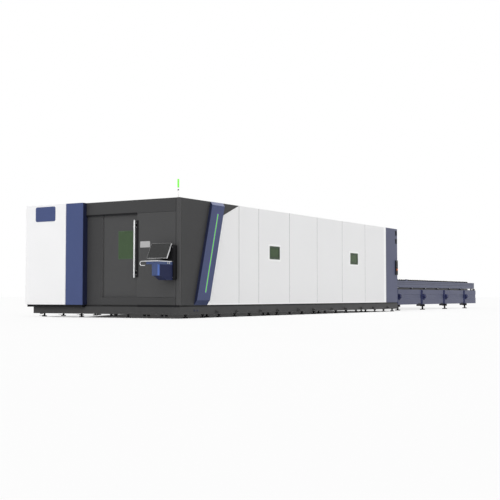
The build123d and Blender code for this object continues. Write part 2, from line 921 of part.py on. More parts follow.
disc_height = (band_base + band_top) / 2
with BuildPart() as lift_drive_covers:
    for side in (-1, 1):
        for foot_x in table_feet_xs:
            post_x = foot_x - post_offset
            disc_x = foot_x + disc_offset
            with BuildSketch(side_plane(side * table_side_y)):
                span(post_x - post_width / 2, post_x + post_width / 2, table_side_base, table_side_top)
            extrude(amount=-side * post_proud)
            with BuildSketch(side_plane(side * (table_side_y - table_band_depth))):
                with Locations((disc_x, disc_height)):
                    Circle(disc_hub_diameter / 2)
            extrude(amount=-side * table_band_depth)
            with BuildSketch(side_plane(side * table_side_y)):
                with Locations((disc_x, disc_height)):
                    Circle(disc_diameter / 2)
            extrude(amount=-side * disc_proud)
    rims = lift_drive_covers.edges().filter_by(GeomType.CIRCLE)
    right_rims = rims.group_by(Axis.Y)[0]
    left_rims = rims.group_by(Axis.Y)[-1]
    fillet(right_rims + left_rims, radius=disc_edge_radius)
keep(lift_drive_covers.part, "lift_drive_covers")

beam_xs = [foot_x - cross_beam_offset for foot_x in table_feet_xs]
block_y = table_side_y - foot_block_depth / 2
block_places = [(x, side * block_y) for x in beam_xs for side in (-1, 1)]
with BuildPart() as table_cross_beams:
    with BuildSketch(level_plane(table_side_base)):
        with Locations(*[(x, 0) for x in beam_xs]):
            Rectangle(cross_beam_width, 2 * (table_side_y - table_side_thickness))
    extrude(amount=cross_beam_height)
    with BuildSketch(level_plane(table_side_base)):
        with Locations(*block_places):
            Rectangle(cross_beam_width, foot_block_depth)
    extrude(amount=-foot_block_height)
keep(table_cross_beams.part, "table_cross_beams")

table_foot_y = table_side_y - table_side_thickness / 2
table_foot_places = [(x, side * table_foot_y) for x in table_feet_xs for side in (-1, 1)]
nut_base = table_side_base - table_nut_height
with BuildPart() as table_feet:
    with BuildSketch(level_plane(0)):
        with Locations(*table_foot_places):
            RegularPolygon(table_pad_diameter / 2, table_pad_sides)
    extrude(amount=table_pad_height)
    with BuildSketch(level_plane(table_pad_height)):
        with Locations(*table_foot_places):
            RegularPolygon(table_stud_diameter / 2, table_stud_sides)
    extrude(amount=nut_base - table_pad_height)
    with BuildSketch(level_plane(nut_base)):
        with Locations(*table_foot_places):
            RegularPolygon(table_nut_diameter / 2, table_nut_sides)
    extrude(amount=table_nut_height)
keep(table_feet.part, "table_feet")

# Exchange lift: side webs, two levels of tracks and cross beams that rest on the table's
lift_beam_base = table_side_base + cross_beam_height
lift_web_base = lift_beam_base + lift_beam_height
lift_web_end_y = lift_web_y + lift_web_thickness
with BuildPart() as lift_webs:
    with BuildSketch(cross_plane(pallet_x)):
        for side in (-1, 1):
            with Locations((side * (lift_web_y + lift_web_thickness / 2), (lift_web_base + track_top) / 2)):
                Rectangle(lift_web_thickness, track_top - lift_web_base)
    extrude(amount=pallet_length)
keep(lift_webs.part, "lift_webs")

with BuildPart() as lift_tracks:
    with BuildSketch(cross_plane(pallet_x)):
        for side in (-1, 1):
            for top in (track_top, track_top - lift_stroke):
                with Locations((side * (track_y + track_width / 2), top - track_height / 2)):
                    Rectangle(track_width, track_height)
    extrude(amount=pallet_length)
    with BuildSketch(cross_plane(pallet_x)):
        for side in (-1, 1):
            for top in (track_top, track_top - lift_stroke):
                with Locations((side * (track_y + track_flange_width / 2), top + track_flange_height / 2)):
                    Rectangle(track_flange_width, track_flange_height)
    extrude(amount=slat_field_length)
keep(lift_tracks.part, "lift_tracks")

with BuildPart() as lift_cross_beams:
    with BuildSketch(level_plane(lift_beam_base)):
        with Locations(*[(x, 0) for x in beam_xs]):
            Rectangle(cross_beam_width, 2 * lift_web_end_y)
    extrude(amount=lift_beam_height)
keep(lift_cross_beams.part, "lift_cross_beams")

# Pallets: a welded frame with wheels, and its slats, on two levels
slat_count = int(slat_field_length // slat_pitch) + 1
slat_span = 2 * (pallet_side_y - pallet_beam_width)
wheel_pitch = (pallet_length - 2 * wheel_inset) / (wheel_count - 1)
wheel_xs = [pallet_x + wheel_inset + wheel_pitch * i for i in range(wheel_count)]
bar_pitch = pallet_length / (cross_bar_count + 1)
for name, drop in (("upper", 0), ("lower", lift_stroke)):
    frame_base = pallet_base - drop
    frame_top = pallet_beam_top - drop
    with BuildPart() as pallet_frame:
        with BuildSketch(level_plane(frame_base)):
            span(pallet_x, pallet_x + pallet_length, -pallet_side_y, pallet_side_y)
            span(
                pallet_x + pallet_beam_width,
                pallet_x + pallet_length - pallet_beam_width,
                -slat_span / 2,
                slat_span / 2,
                mode=Mode.SUBTRACT,
            )
        extrude(amount=pallet_beam_height)
        with BuildSketch(level_plane(frame_base)):
            for index in range(cross_bar_count):
                bar_x = pallet_x + bar_pitch * (index + 1) - cross_bar_width / 2
                bar_end_x = bar_x + cross_bar_width
                span(bar_x, bar_end_x, -slat_span / 2, slat_span / 2)
        extrude(amount=frame_top + slat_rise - slat_height - frame_base)
        for side in (-1, 1):
            with BuildSketch(side_plane(side * (pallet_side_y - wheel_face_inset))):
                with Locations(*[(x, frame_base) for x in wheel_xs]):
                    Circle(wheel_diameter / 2)
            extrude(amount=side * wheel_width)
        with BuildSketch(level_plane(frame_top)):
            pin_y = pallet_side_y - pallet_beam_width / 2
            pin_x = pallet_x + pallet_pin_from_start
            with Locations((pin_x, -pin_y), (pin_x, pin_y)):
                Rectangle(pallet_pin_length, pallet_pin_width)
        extrude(amount=slat_rise)
    keep(pallet_frame.part, f"{name}_pallet_frame")
    with BuildPart() as slats:
        with BuildSketch(level_plane(frame_top + slat_rise - slat_height)):
            for index in range(slat_count):
                slat_x = pallet_x + pallet_beam_width + slat_start + slat_pitch * index
                span(slat_x, slat_x + slat_thickness, -slat_span / 2, slat_span / 2)
        extrude(amount=slat_height)
    keep(slats.part, f"{name}_slats")

# Operator console on the fixed front panel
box_y = right_y + box_side_gap
box_x = front_x - box_depth
tilt_share = tan(radians(monitor_tilt))
monitor_back = monitor_thickness / cos(radians(monitor_tilt))


def monitor_back_x(height):
    """Place along x of the monitor's back face at a height."""
    return front_x - monitor_front + (height - monitor_base) * tilt_share + monitor_back


monitor_y = right_y + monitor_side_gap
monitor_middle_y = monitor_y + monitor_width / 2
bracket_base = box_top - bracket_height
with BuildPart() as console_back_box:
    with BuildSketch(cross_plane(front_x)):
        with Locations((box_y + box_width / 2, (box_base + box_top) / 2)):
            RectangleRounded(box_width, box_top - box_base, box_radius)
    extrude(amount=-box_depth)
    with BuildSketch(side_plane(monitor_middle_y - bracket_width / 2)):
        with BuildLine():
            Polyline(
                (box_x, bracket_base),
                (monitor_back_x(bracket_base), bracket_base),
                (monitor_back_x(box_top - box_radius), box_top - box_radius),
                (box_x, box_top - box_radius),
                close=True,
            )
        make_face()
    extrude(amount=-bracket_width)
keep(console_back_box.part, "console_back_box")

arm_y = right_y + arm_side_gap
arm_front_x = front_x - console_reach + arm_front_inset
with BuildPart() as console_arm:
    with BuildSketch(side_plane(arm_y)):
        with BuildLine():
            Polyline(
                (box_x, arm_root_base),
                (box_x - arm_root_flat, arm_root_base),
                (arm_front_x + arm_front_flat, arm_front_base),
                (arm_front_x, arm_front_base),
                (arm_front_x, arm_top),
                (box_x, arm_top),
                close=True,
            )
        make_face()
    extrude(amount=-arm_width)
    chamfer(console_arm.edges().filter_by(Axis.Z).group_by(Axis.X)[0], length=arm_chamfer)
    with BuildSketch(level_plane(arm_top)):
        span(arm_front_x, box_x, arm_y, arm_y + shelf_width)
    extrude(amount=tray_base - arm_top)
    button_height = (arm_top + tray_base) / 2
    first_button_x = front_x - console_button_setback
    button_xs = [first_button_x + console_button_spacing * i for i in range(console_button_count)]
    stem_diameter = console_button_diameter * button_stem_share
    with BuildSketch(side_plane(arm_y)):
        with Locations(*[(x, button_height) for x in button_xs]):
            Circle(stem_diameter / 2 + button_bore_clearance)
    extrude(amount=-button_stem_length - overrun, mode=Mode.SUBTRACT)
keep(console_arm.part, "console_arm")

tray_x = front_x - console_reach
grip_y = arm_y + tray_width
with BuildPart() as keyboard_tray:
    with BuildSketch(level_plane(tray_base)):
        span(tray_x, box_x, arm_y, grip_y)
    extrude(amount=tray_thickness)
    fillet(keyboard_tray.edges().filter_by(Axis.Z).group_by(Axis.X)[0], radius=tray_radius)
    grip_x = tray_x + grip_inset + grip_diameter
    grip_top = tray_base + tray_thickness / 2
    grip_start = grip_y - overrun
    with BuildLine(cross_plane(grip_x)) as grip_path:
        FilletPolyline(
            (grip_start, grip_top),
            (grip_y + grip_length, grip_top),
            (grip_y + grip_length, grip_top - grip_drop),
            (grip_y + grip_diameter, grip_top - grip_drop),
            radius=grip_bend_radius,
        )
    with BuildSketch(Plane(origin=grip_path.line @ 0, z_dir=grip_path.line % 0)):
        Circle(grip_diameter / 2)
    sweep(path=grip_path.line)
keep(keyboard_tray.part, "keyboard_tray")

keyboard_x = tray_x + keyboard_setback
keyboard_y = arm_y + (tray_width - keyboard_width) / 2
with BuildPart() as keyboard:
    with BuildSketch(side_plane(keyboard_y)):
        with BuildLine():
            Polyline(
                (keyboard_x, tray_top),
                (keyboard_x + keyboard_depth, tray_top),
                (keyboard_x + keyboard_depth, tray_top + keyboard_height),
                (keyboard_x, tray_top + keyboard_height * keyboard_front_share),
                close=True,
            )
        make_face()
    extrude(amount=-keyboard_width)
keep(keyboard.part, "keyboard")

monitor_plane = Plane(
    origin=(front_x - monitor_front, monitor_middle_y, monitor_base),
    x_dir=(0, 1, 0),
    z_dir=(cos(radians(monitor_tilt)), 0, -sin(radians(monitor_tilt))),
)
with BuildPart() as monitor:
    with BuildSketch(monitor_plane):
        with Locations((0, monitor_height / 2)):
            RectangleRounded(monitor_width, monitor_height, monitor_radius)
    extrude(amount=monitor_thickness)
    with BuildSketch(monitor_plane):
        with Locations((0, monitor_height / 2)):
            Rectangle(monitor_width - 2 * monitor_bezel, monitor_height - 2 * monitor_bezel)
    extrude(amount=monitor_recess, mode=Mode.SUBTRACT)
keep(monitor.part, "monitor")

for index, button_x in enumerate(button_xs):
    with BuildPart() as console_button:
        with BuildSketch(side_plane(arm_y - running_gap - console_button_travel)):
            with Locations((button_x, button_height)):
                Circle(console_button_diameter / 2)
        extrude(amount=console_button_proud)
        with BuildSketch(side_plane(arm_y - running_gap - console_button_travel)):
            with Locations((button_x, button_height)):
                Circle(stem_diameter / 2)
        extrude(amount=-button_stem_length)
    keep(console_button.part, f"console_button_{index + 1}")

# Control box at the portal's rear edge, with its stop button
rear_box_x = rear_x - rear_box_from_rear - rear_box_width / 2
rear_box_top = rear_box_base + rear_box_height
stop_z = rear_box_base + rear_box_height * stop_height_share
rear_box_face_y = right_y - rear_box_depth
with BuildPart() as rear_control_box:
    with BuildSketch(side_plane(right_y)):
        with Locations((rear_box_x, (rear_box_base + rear_box_top) / 2)):
            RectangleRounded(rear_box_width, rear_box_height, rear_box_radius)
    extrude(amount=rear_box_depth)
    chamfer(rear_control_box.faces().sort_by(Axis.Y)[0].edges(), length=edge_chamfer)
    with BuildSketch(side_plane(rear_box_face_y)):
        with Locations((rear_box_x, stop_z)):
            Circle(stop_stem_diameter / 2 + button_bore_clearance)
    extrude(amount=-button_stem_length - overrun, mode=Mode.SUBTRACT)
keep(rear_control_box.part, "rear_control_box")

with BuildPart() as rear_stop_button:
    with BuildSketch(side_plane(rear_box_face_y - running_gap - stop_travel)):
        with Locations((rear_box_x, stop_z)):
            Circle(stop_cap_diameter / 2)
    extrude(amount=stop_cap_height)
    fillet(rear_stop_button.edges().group_by(Axis.Y)[0], radius=stop_cap_radius)
    with BuildSketch(side_plane(rear_box_face_y - running_gap - stop_travel)):
        with Locations((rear_box_x, stop_z)):
            Circle(stop_stem_diameter / 2)
    extrude(amount=-button_stem_length)
keep(rear_stop_button.part, "rear_stop_button")

# Tower light on the roof's front corner
tower_place = (front_x + tower_from_front, right_y + tower_from_side)
pole_top = cabin_height + tower_base_height + tower_pole_height
with BuildPart() as tower_pole:
    with BuildSketch(level_plane(cabin_height)):
        with Locations(tower_place):
            Circle(tower_base_diameter / 2)
    extrude(amount=tower_base_height)
    with BuildSketch(level_plane(cabin_height + tower_base_height)):
        with Locations(tower_place):
            Circle(tower_pole_diameter / 2)
    extrude(amount=tower_pole_height)
keep(tower_pole.part, "tower_pole")

with BuildPart() as tower_lamp:
    with BuildSketch(level_plane(pole_top)):
        with Locations(tower_place):
            Circle(tower_lamp_diameter / 2)
    extrude(amount=tower_lamp_height + tower_cap_height)
    fillet(tower_lamp.edges().group_by(Axis.Z)[-1], radius=tower_cap_radius)
keep(tower_lamp.part, "tower_lamp")

# Laser source behind the front cabinet, standing on the plinth's base plate
with BuildPart() as laser_source:
    with BuildSketch(level_plane(plinth_top)):
        span(source_x, source_end_x, source_y, left_plinth_inner_y)
    extrude(amount=source_height)
    fillet(laser_source.edges().filter_by(Axis.Z), radius=source_radius)
keep(laser_source.part, "laser_source")
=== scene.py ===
import math
import random

import bmesh
import bpy
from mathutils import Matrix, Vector


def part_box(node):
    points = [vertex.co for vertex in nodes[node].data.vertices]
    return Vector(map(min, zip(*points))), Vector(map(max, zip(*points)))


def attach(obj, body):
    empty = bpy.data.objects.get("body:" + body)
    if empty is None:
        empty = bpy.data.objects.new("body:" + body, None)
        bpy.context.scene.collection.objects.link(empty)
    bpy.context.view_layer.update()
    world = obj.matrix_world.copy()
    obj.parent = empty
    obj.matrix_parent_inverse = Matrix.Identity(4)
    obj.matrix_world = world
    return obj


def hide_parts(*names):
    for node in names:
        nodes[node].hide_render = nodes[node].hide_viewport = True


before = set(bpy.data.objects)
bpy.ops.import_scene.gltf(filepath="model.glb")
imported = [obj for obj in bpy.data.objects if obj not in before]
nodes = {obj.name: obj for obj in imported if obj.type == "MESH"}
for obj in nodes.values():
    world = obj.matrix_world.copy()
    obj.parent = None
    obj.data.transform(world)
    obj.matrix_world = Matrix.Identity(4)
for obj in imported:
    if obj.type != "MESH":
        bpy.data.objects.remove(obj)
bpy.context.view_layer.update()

random.seed(7)

# Colours that more than one finish uses, linear light
BLACK = (0.01, 0.01, 0.011)
SILVER = (0.78, 0.78, 0.79)
STRIP_VIOLET = (0.06, 0.03, 0.24)

# Finish of the paint, sockets of the mix node, and places that masks follow
RAMP_ENDS = (0.3, 0.7)
MIX_SHARE, MIX_FIRST, MIX_SECOND, MIX_COLOUR = 0, 6, 7, 2
DUST_HEIGHT = 0.5
# Heights and share of the painted shade band under the plinth's top rebate
PLINTH_SHADE_BAND = (0.244, 0.27, 0.14)
SLANT_LEAN = 0.28
STRIP_CORE = 0.0175
BRUSHED_X = (0.02, 1.0, 1.0)
BRUSHED_Y = (1.0, 0.02, 1.0)
BRUSHED_Z = (1.0, 1.0, 0.02)


# Node helpers
def feed(tree, node, inputs):
    """Inputs of a node: a source is linked, a constant is set."""
    for name, value in inputs.items():
        if isinstance(value, bpy.types.NodeSocket):
            tree.links.new(value, node.inputs[name])
        else:
            node.inputs[name].default_value = value


def make(tree, kind, output, inputs, **settings):
    """One output of a new node with its settings and inputs."""
    node = tree.nodes.new("ShaderNode" + kind)
    for name, value in settings.items():
        setattr(node, name, value)
    feed(tree, node, inputs)
    return node.outputs[output]


def shade(colour, share):
    """Colour made lighter or darker by a share, with a full alpha."""
    return tuple(min(1.0, c * share) for c in colour) + (1.0,)


def new_material(name):
    """Node material with its tree and its shader."""
    material = bpy.data.materials.new(name)
    material.use_nodes = True
    tree = material.node_tree
    return material, tree, tree.nodes["Principled BSDF"]


def noise(tree, scale, detail, stretch=None):
    """Noise in metres of the object's own frame; stretch scales it along the axes."""
    source = make(tree, "TexCoord", "Object", {})
    if stretch:
        source = make(tree, "Mapping", "Vector", {"Vector": source, "Scale": stretch})
    return make(tree, "TexNoise", "Fac", {"Vector": source, "Scale": scale, "Detail": detail})


def ramp(tree, source, low, high):
    """Two-colour ramp driven by a value."""
    node = tree.nodes.new("ShaderNodeValToRGB")
    for element, place, colour in zip(node.color_ramp.elements, RAMP_ENDS, (low, high)):
        element.position = place
        element.color = colour
    feed(tree, node, {"Fac": source})
    return node.outputs["Color"]


def remap(tree, source, low, high):
    """Value moved from 0..1 to low..high."""
    return make(tree, "MapRange", "Result", {"Value": source, "To Min": low, "To Max": high})


def mix(tree, share, first, second):
    """Colour mix of two sockets or colours by a share socket."""
    inputs = {MIX_SHARE: share, MIX_FIRST: first, MIX_SECOND: second}
    return make(tree, "Mix", MIX_COLOUR, inputs, data_type="RGBA")


def calc(tree, operation, first, second=0.0):
    """Math node on two sockets or numbers."""
    return make(tree, "Math", "Value", {0: first, 1: second}, operation=operation)


def own_axis(tree, axis):
    """Place along one axis of the object's own frame."""
    place = make(tree, "TexCoord", "Object", {})
    return make(tree, "SeparateXYZ", axis, {"Vector": place})


def worn_mask(tree, sharpness):
    """Patchy mask of convex and concave edges, from the bevelled normal."""
    bevelled = make(tree, "Bevel", "Normal", {"Radius": 0.006}, samples=4)
    flat = make(tree, "NewGeometry", "Normal", {})
    facing = make(tree, "VectorMath", "Value", {0: bevelled, 1: flat}, operation="DOT_PRODUCT")
    bent = calc(tree, "SUBTRACT", 1.0, facing)
    strong = calc(tree, "MULTIPLY", bent, sharpness)
    patchy = calc(tree, "MULTIPLY", strong, noise(tree, scale=14.0, detail=6.0))
    return calc(tree, "MINIMUM", patchy, 1.0)


def dust_mask(tree, amount):
    """Mask that grows towards the floor, broken up by noise."""
    levels = {"Value": own_axis(tree, "Z"), "From Min": DUST_HEIGHT, "From Max": 0.0}
    low = make(tree, "MapRange", "Result", levels)
    patchy = calc(tree, "MULTIPLY", low, noise(tree, scale=5.0, detail=8.0))
    return calc(tree, "MULTIPLY", patchy, amount)


def height_mask(tree, low, high):
    """Mask of the heights between two levels."""
    height = own_axis(tree, "Z")
    above = calc(tree, "GREATER_THAN", height, low)
    below = calc(tree, "LESS_THAN", height, high)
    return calc(tree, "MULTIPLY", above, below)


def strip_edge_mask(tree):
    """Mask of the light strip's two long edges, beside its lit core."""
    low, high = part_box("light_strip")
    middle = (low[0] + high[0] - SLANT_LEAN * (low[2] + high[2])) / 2
    leaned = calc(tree, "MULTIPLY", own_axis(tree, "Z"), SLANT_LEAN)
    across = calc(tree, "SUBTRACT", own_axis(tree, "X"), leaned)
    across = calc(tree, "ABSOLUTE", calc(tree, "SUBTRACT", across, middle))
    return calc(tree, "GREATER_THAN", across, STRIP_CORE)


def bump(tree, *heights):
    """Normal from a chain of bumps, each of (source, strength, distance)."""
    normal = {}
    for source, strength, distance in heights:
        inputs = {"Height": source, "Strength": strength, "Distance": distance}
        normal = {"Normal": make(tree, "Bump", "Normal", {**inputs, **normal})}
    return normal["Normal"]


def paint(
    name, colour, rough, wear=None, grain=0.12, metallic=0.0, dust=0.0, drift=0.035, band=None, gloss=0.25
):
    """Powder coat: broad colour drift, orange-peel bump, uneven gloss, worn edges, dust near the floor.

    A band of (low, high, share) darkens the paint between two heights, as painted shade.
    """
    material, tree, shader = new_material(name)
    broad = noise(tree, scale=0.9, detail=3.0)
    tone = ramp(tree, broad, shade(colour, 1 - drift), shade(colour, 1 + drift))
    speckle = remap(tree, noise(tree, scale=60.0, detail=2.0), low=0.0, high=0.25)
    tone = mix(tree, speckle, tone, shade(colour, share=0.93))
    if wear:
        tone = mix(tree, worn_mask(tree, wear), tone, shade(colour, share=1.55))
    if dust:
        tone = mix(tree, dust_mask(tree, dust), tone, (0.3, 0.29, 0.27) + (1.0,))
    if band:
        tone = mix(tree, height_mask(tree, band[0], band[1]), tone, shade(colour, band[2]))
    smear = calc(tree, "MULTIPLY", noise(tree, scale=2.2, detail=6.0), noise(tree, scale=23.0, detail=3.0))
    peel = noise(tree, scale=900.0, detail=2.0)
    waves = noise(tree, scale=1.6, detail=2.0)
    feed(tree, shader, {
        "Base Color": tone,
        "Roughness": remap(tree, smear, rough - 0.06, rough + 0.16),
        "Normal": bump(tree, (peel, grain, 0.0006), (waves, 0.06, 0.004)),
        "Metallic": metallic,
        "Specular IOR Level": gloss,
    })
    return material


def metal(name, colour, rough, stretch=(1.0, 1.0, 1.0), brush=350.0, soot=0.0):
    """Bare metal: brushed grain along one axis, stains and uneven gloss."""
    material, tree, shader = new_material(name)
    grain = noise(tree, brush, 3.0, stretch)
    stains = noise(tree, scale=7.0, detail=8.0)
    tone = ramp(tree, grain, shade(colour, 0.86), shade(colour, 1.1))
    stained = remap(tree, stains, low=-0.25, high=0.45 + soot)
    feed(tree, shader, {
        "Base Color": mix(tree, stained, tone, shade(colour, 0.62 - 0.4 * soot)),
        "Roughness": remap(tree, calc(tree, "ADD", grain, stains), rough - 0.1, rough + 0.12),
        "Normal": bump(tree, (grain, 0.1, 0.0005), (stains, 0.05, 0.001)),
        "Metallic": 0.9,
    })
    return material


def plastic(name, colour, rough):
    """Moulded plastic: fine spark texture, slight tone drift, handled gloss."""
    material, tree, shader = new_material(name)
    drift = noise(tree, scale=30.0, detail=5.0)
    feed(tree, shader, {
        "Base Color": ramp(tree, drift, shade(colour, 0.85), shade(colour, 1.2)),
        "Roughness": remap(tree, noise(tree, scale=18.0, detail=6.0), rough - 0.08, rough + 0.12),
        "Normal": bump(tree, (noise(tree, scale=1500.0, detail=2.0), 0.2, 0.0004)),
    })
    return material


def glass(name, colour, rough=0.08, gloss=0.3):
    """Dark safety glass: dyed sheet with faint waves and smears, partly see-through."""
    material, tree, shader = new_material(name)
    drift = noise(tree, scale=3.0, detail=4.0)
    feed(tree, shader, {
        "Base Color": ramp(tree, drift, shade(colour, 0.92), shade(colour, 1.08)),
        "Roughness": remap(tree, noise(tree, scale=9.0, detail=6.0), rough, rough + 0.1),
        "Normal": bump(tree, (noise(tree, scale=4.0, detail=2.0), 0.04, 0.002)),
        "Transmission Weight": 0.25,
        "IOR": 1.49,
        "Specular IOR Level": gloss,
        "Coat Weight": 0.04,
    })
    return material


def lit(name, colour, strength, edge=None):
    """Lit diffuser: glow that varies softly over its lamps; the strip's edge may have its own colour."""
    material, tree, shader = new_material(name)
    glow = ramp(tree, noise(tree, scale=40.0, detail=2.0), shade(colour, 0.88), shade(colour, 1.08))
    if edge:
        glow = mix(tree, strip_edge_mask(tree), glow, shade(edge, 1.0))
    feed(tree, shader, {
        "Base Color": glow,
        "Emission Color": glow,
        "Emission Strength": strength,
        "Roughness": remap(tree, noise(tree, scale=120.0, detail=3.0), low=0.3, high=0.5),
        "Normal": bump(tree, (noise(tree, scale=400.0, detail=2.0), 0.1, 0.0004)),
    })
    return material


white = paint("white_paint", (0.83, 0.83, 0.835), 0.4, grain=0.08, drift=0.008)
bright_white = paint("bright_white", (0.94, 0.94, 0.94), 0.4, grain=0.05, drift=0.005)
dark = paint("dark_paint", (0.042, 0.042, 0.043), 0.5, wear=1.6, grain=0.2)
door_dark = paint("door_paint", (0.056, 0.056, 0.057), 0.46, wear=1.2, grain=0.16)
# Plinth paint: dust near the floor, and a painted shade band under its top rebate
plinth_dark = paint("plinth_paint", (0.04, 0.04, 0.041), 0.52, wear=1.4, grain=0.25, dust=0.06, band=PLINTH_SHADE_BAND)
blue = paint("blue_paint", (0.053, 0.075, 0.187), 0.36, wear=1.2, metallic=0.12)
slant_blue = paint("slant_paint", (0.052, 0.068, 0.16), 0.36, wear=1.2, metallic=0.12)
# Lighter and darker copies of the slanted pillar's blue: painted highlight and painted shade for its end facets
facet_highlight = paint("facet_highlight_paint", (0.2, 0.22, 0.35), 0.36, wear=1.2)
facet_shade = paint("facet_shade_paint", (0.035, 0.047, 0.109), 0.5, wear=1.2, gloss=0.1)
console_blue = paint("console_paint", (0.05, 0.075, 0.175), 0.34, wear=1.0, metallic=0.1)
table_side = paint("table_side_paint", (0.066, 0.074, 0.138), 0.42, wear=1.6, dust=0.03)
table_blue = paint("table_paint", (0.085, 0.095, 0.155), 0.42, wear=1.6, dust=0.1)
portal_blue = paint("portal_paint", (0.071, 0.08, 0.146), 0.4, wear=1.2)
navy = paint("navy_paint", (0.015, 0.019, 0.05), 0.38, wear=1.5)
cover_navy = paint("cover_paint", (0.03, 0.036, 0.1), 0.3, wear=1.5)
facing_navy = paint("facing_paint", (0.03, 0.036, 0.095), 0.6, wear=1.2, gloss=0.04)
# Navy and bright blue skins for the console arm: painted shade and painted highlight
arm_shade = paint("arm_side_shade", (0.018, 0.023, 0.066), 0.45, wear=1.0, gloss=0.1)
arm_highlight = paint("arm_corner_highlight", (0.07, 0.13, 0.38), 0.3)
track_dark = paint("track_paint", (0.05, 0.05, 0.054), 0.45, wear=1.5)
black_paint = paint("black_paint", BLACK, 0.5, wear=1.2, grain=0.2, gloss=0.1)
# Lighter grey for the left panel's edge face: painted light against the doorway's shade
edge_highlight_grey = paint("panel_edge_highlight", (0.14, 0.14, 0.14), 0.5)
label_grey = paint("plain_label", (0.42, 0.42, 0.42), 0.45)
steel = metal("ground_steel", (0.42, 0.42, 0.43), 0.34, BRUSHED_X)
rail_steel = metal("rail_steel", (0.525, 0.525, 0.5375), 0.22, BRUSHED_X)
slat_steel = metal("scaled_steel", (0.045, 0.042, 0.04), 0.6, BRUSHED_Z, soot=0.4)
silver_y = metal("satin_metal", SILVER, 0.34, BRUSHED_Y)
silver_z = metal("handle_metal", SILVER, 0.3, BRUSHED_Z)
aluminium = metal("beam_aluminium", (0.66, 0.66, 0.67), 0.36, BRUSHED_Y)
black_oxide = metal("black_oxide", (0.03, 0.03, 0.031), 0.5, brush=120.0)
pole_metal = metal("pole_metal", (0.8, 0.79, 0.78), 0.35, BRUSHED_Z)
copper = metal("nozzle_copper", (0.72, 0.34, 0.2), 0.25, BRUSHED_Z, brush=600.0)
black_plastic = plastic("black_plastic", BLACK, 0.5)
amber_plastic = plastic("amber_plastic", (0.75, 0.17, 0.03), 0.3)
halo = plastic("strip_edge", STRIP_VIOLET, 0.3)
trim_green = plastic("pane_edge", (0.03, 0.06, 0.026), 0.4)
frame_green = plastic("frame_green", (0.02, 0.052, 0.015), 0.5)
bezel_grey = plastic("bezel_grey", (0.085, 0.085, 0.086), 0.4)
key_plastic = plastic("key_plastic", (0.03, 0.03, 0.032), 0.5)
pane = glass("laser_pane", (0.046, 0.092, 0.034))
side_pane = glass("side_pane", (0.045, 0.09, 0.028), gloss=0.12)
screen_glass = glass("screen_glass", (0.014, 0.0145, 0.015), 0.12)
display = glass("display", (0.02, 0.0205, 0.021), 0.2)
strip_glow = lit("strip_glow", (0.09, 0.44, 0.025), 0.62, edge=STRIP_VIOLET)
lamp_glow = lit("lamp_glow", (0.15, 0.85, 0.05), 0.68)

# Finish of every CAD node
for material, names in (
    (white, "front_cabinet right_lead_panel right_plain_panels right_window_panels left_panels roof_panels"),
    (white, "laser_source"),
    (dark, "front_header front_sill front_left_panel right_dark_panels bed_beams bed_cross_members"),
    (dark, "rear_gate gantry_trucks lift_cross_beams"),
    (door_dark, "corner_post front_fixed_panel front_door"),
    (plinth_dark, "plinth_sides plinth_front"),
    (black_paint, "levelling_feet table_feet table_cross_beams console_back_box rear_control_box"),
    (blue, "front_pillar"),
    (slant_blue, "right_slant_pillar"),
    (portal_blue, "rear_columns rear_header"),
    (console_blue, "console_arm"),
    (table_side, "table_sides"),
    (table_blue, "upper_pallet_frame lower_pallet_frame"),
    (cover_navy, "lift_drive_covers"),
    (track_dark, "lift_webs lift_tracks"),
    (steel, "bed_tracks door_hangers carriage"),
    (rail_steel, "door_rail gantry_rails"),
    (slat_steel, "upper_slats lower_slats"),
    (silver_y, "keyboard_tray monitor console_button_1 console_button_2"),
    (silver_z, "door_handle"),
    (aluminium, "gantry_beam cutting_head"),
    (pole_metal, "tower_pole"),
    (copper, "nozzle"),
    (black_plastic, "keyboard"),
    (amber_plastic, "rear_stop_button"),
    (frame_green, "side_window_frames"),
    (pane, "door_window"),
    (side_pane, "side_window_panes"),
    (strip_glow, "light_strip"),
    (lamp_glow, "tower_lamp"),
):
    for node_name in names.split():
        mesh = nodes[node_name].data
        mesh.materials.clear()
        mesh.materials.append(material)


# Mesh helpers
def middle_of(node):
    """Middle of a node's box."""
    return [(low + high) / 2 for low, high in zip(*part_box(node))]


def spread(first, last, count):
    """Evenly spaced places from the first to the last."""
    return [first + (last - first) * index / (count - 1) for index in range(count)]


def round_edges(bm, edges, bevel):
    """Edges rounded by a bevel, unless it is zero."""
    if bevel:
        bmesh.ops.bevel(bm, geom=list(edges), offset=bevel, segments=2, profile=0.6, affect="EDGES")


def block(bm, first, second, bevel=0.0):
    """Block between two opposite corners."""
    low, high = Vector(map(min, first, second)), Vector(map(max, first, second))
    made = bmesh.ops.create_cube(bm, size=1.0)["verts"]
    for vert in made:
        vert.co = (low + high) / 2 + Vector([c * s for c, s in zip(vert.co, high - low)])
    round_edges(bm, {edge for vert in made for edge in vert.link_edges}, bevel)


def prism(bm, outline, shift, bevel=0.0):
    """Solid between an outline of points and the same outline moved by a shift."""
    shift = Vector(shift)
    first = [bm.verts.new(point) for point in outline]
    second = [bm.verts.new(Vector(point) + shift) for point in outline]
    count = len(outline)
    bm.faces.new(first[::-1])
    far_face = bm.faces.new(second)
    for index in range(count):
        after = (index + 1) % count
        bm.faces.new((first[index], first[after], second[after], second[index]))
    round_edges(bm, far_face.edges, bevel)


def circle(place, normal, radius, count, turn=0.0):
    """Points of a circle round a place, across a normal."""
    turned = Vector(normal).to_track_quat("Z", "Y").to_matrix()
    points = []
    for index in range(count):
        angle = turn + 2 * math.pi * index / count
        flat = Vector((radius * math.cos(angle), radius * math.sin(angle), 0))
        points.append(Vector(place) + turned @ flat)
    return points


def disc(bm, place, normal, radius, height, count=24, bevel=0.0):
    """Round solid standing on a place along a normal."""
    normal = Vector(normal)
    prism(bm, circle(place, normal, radius, count), normal * height, bevel)


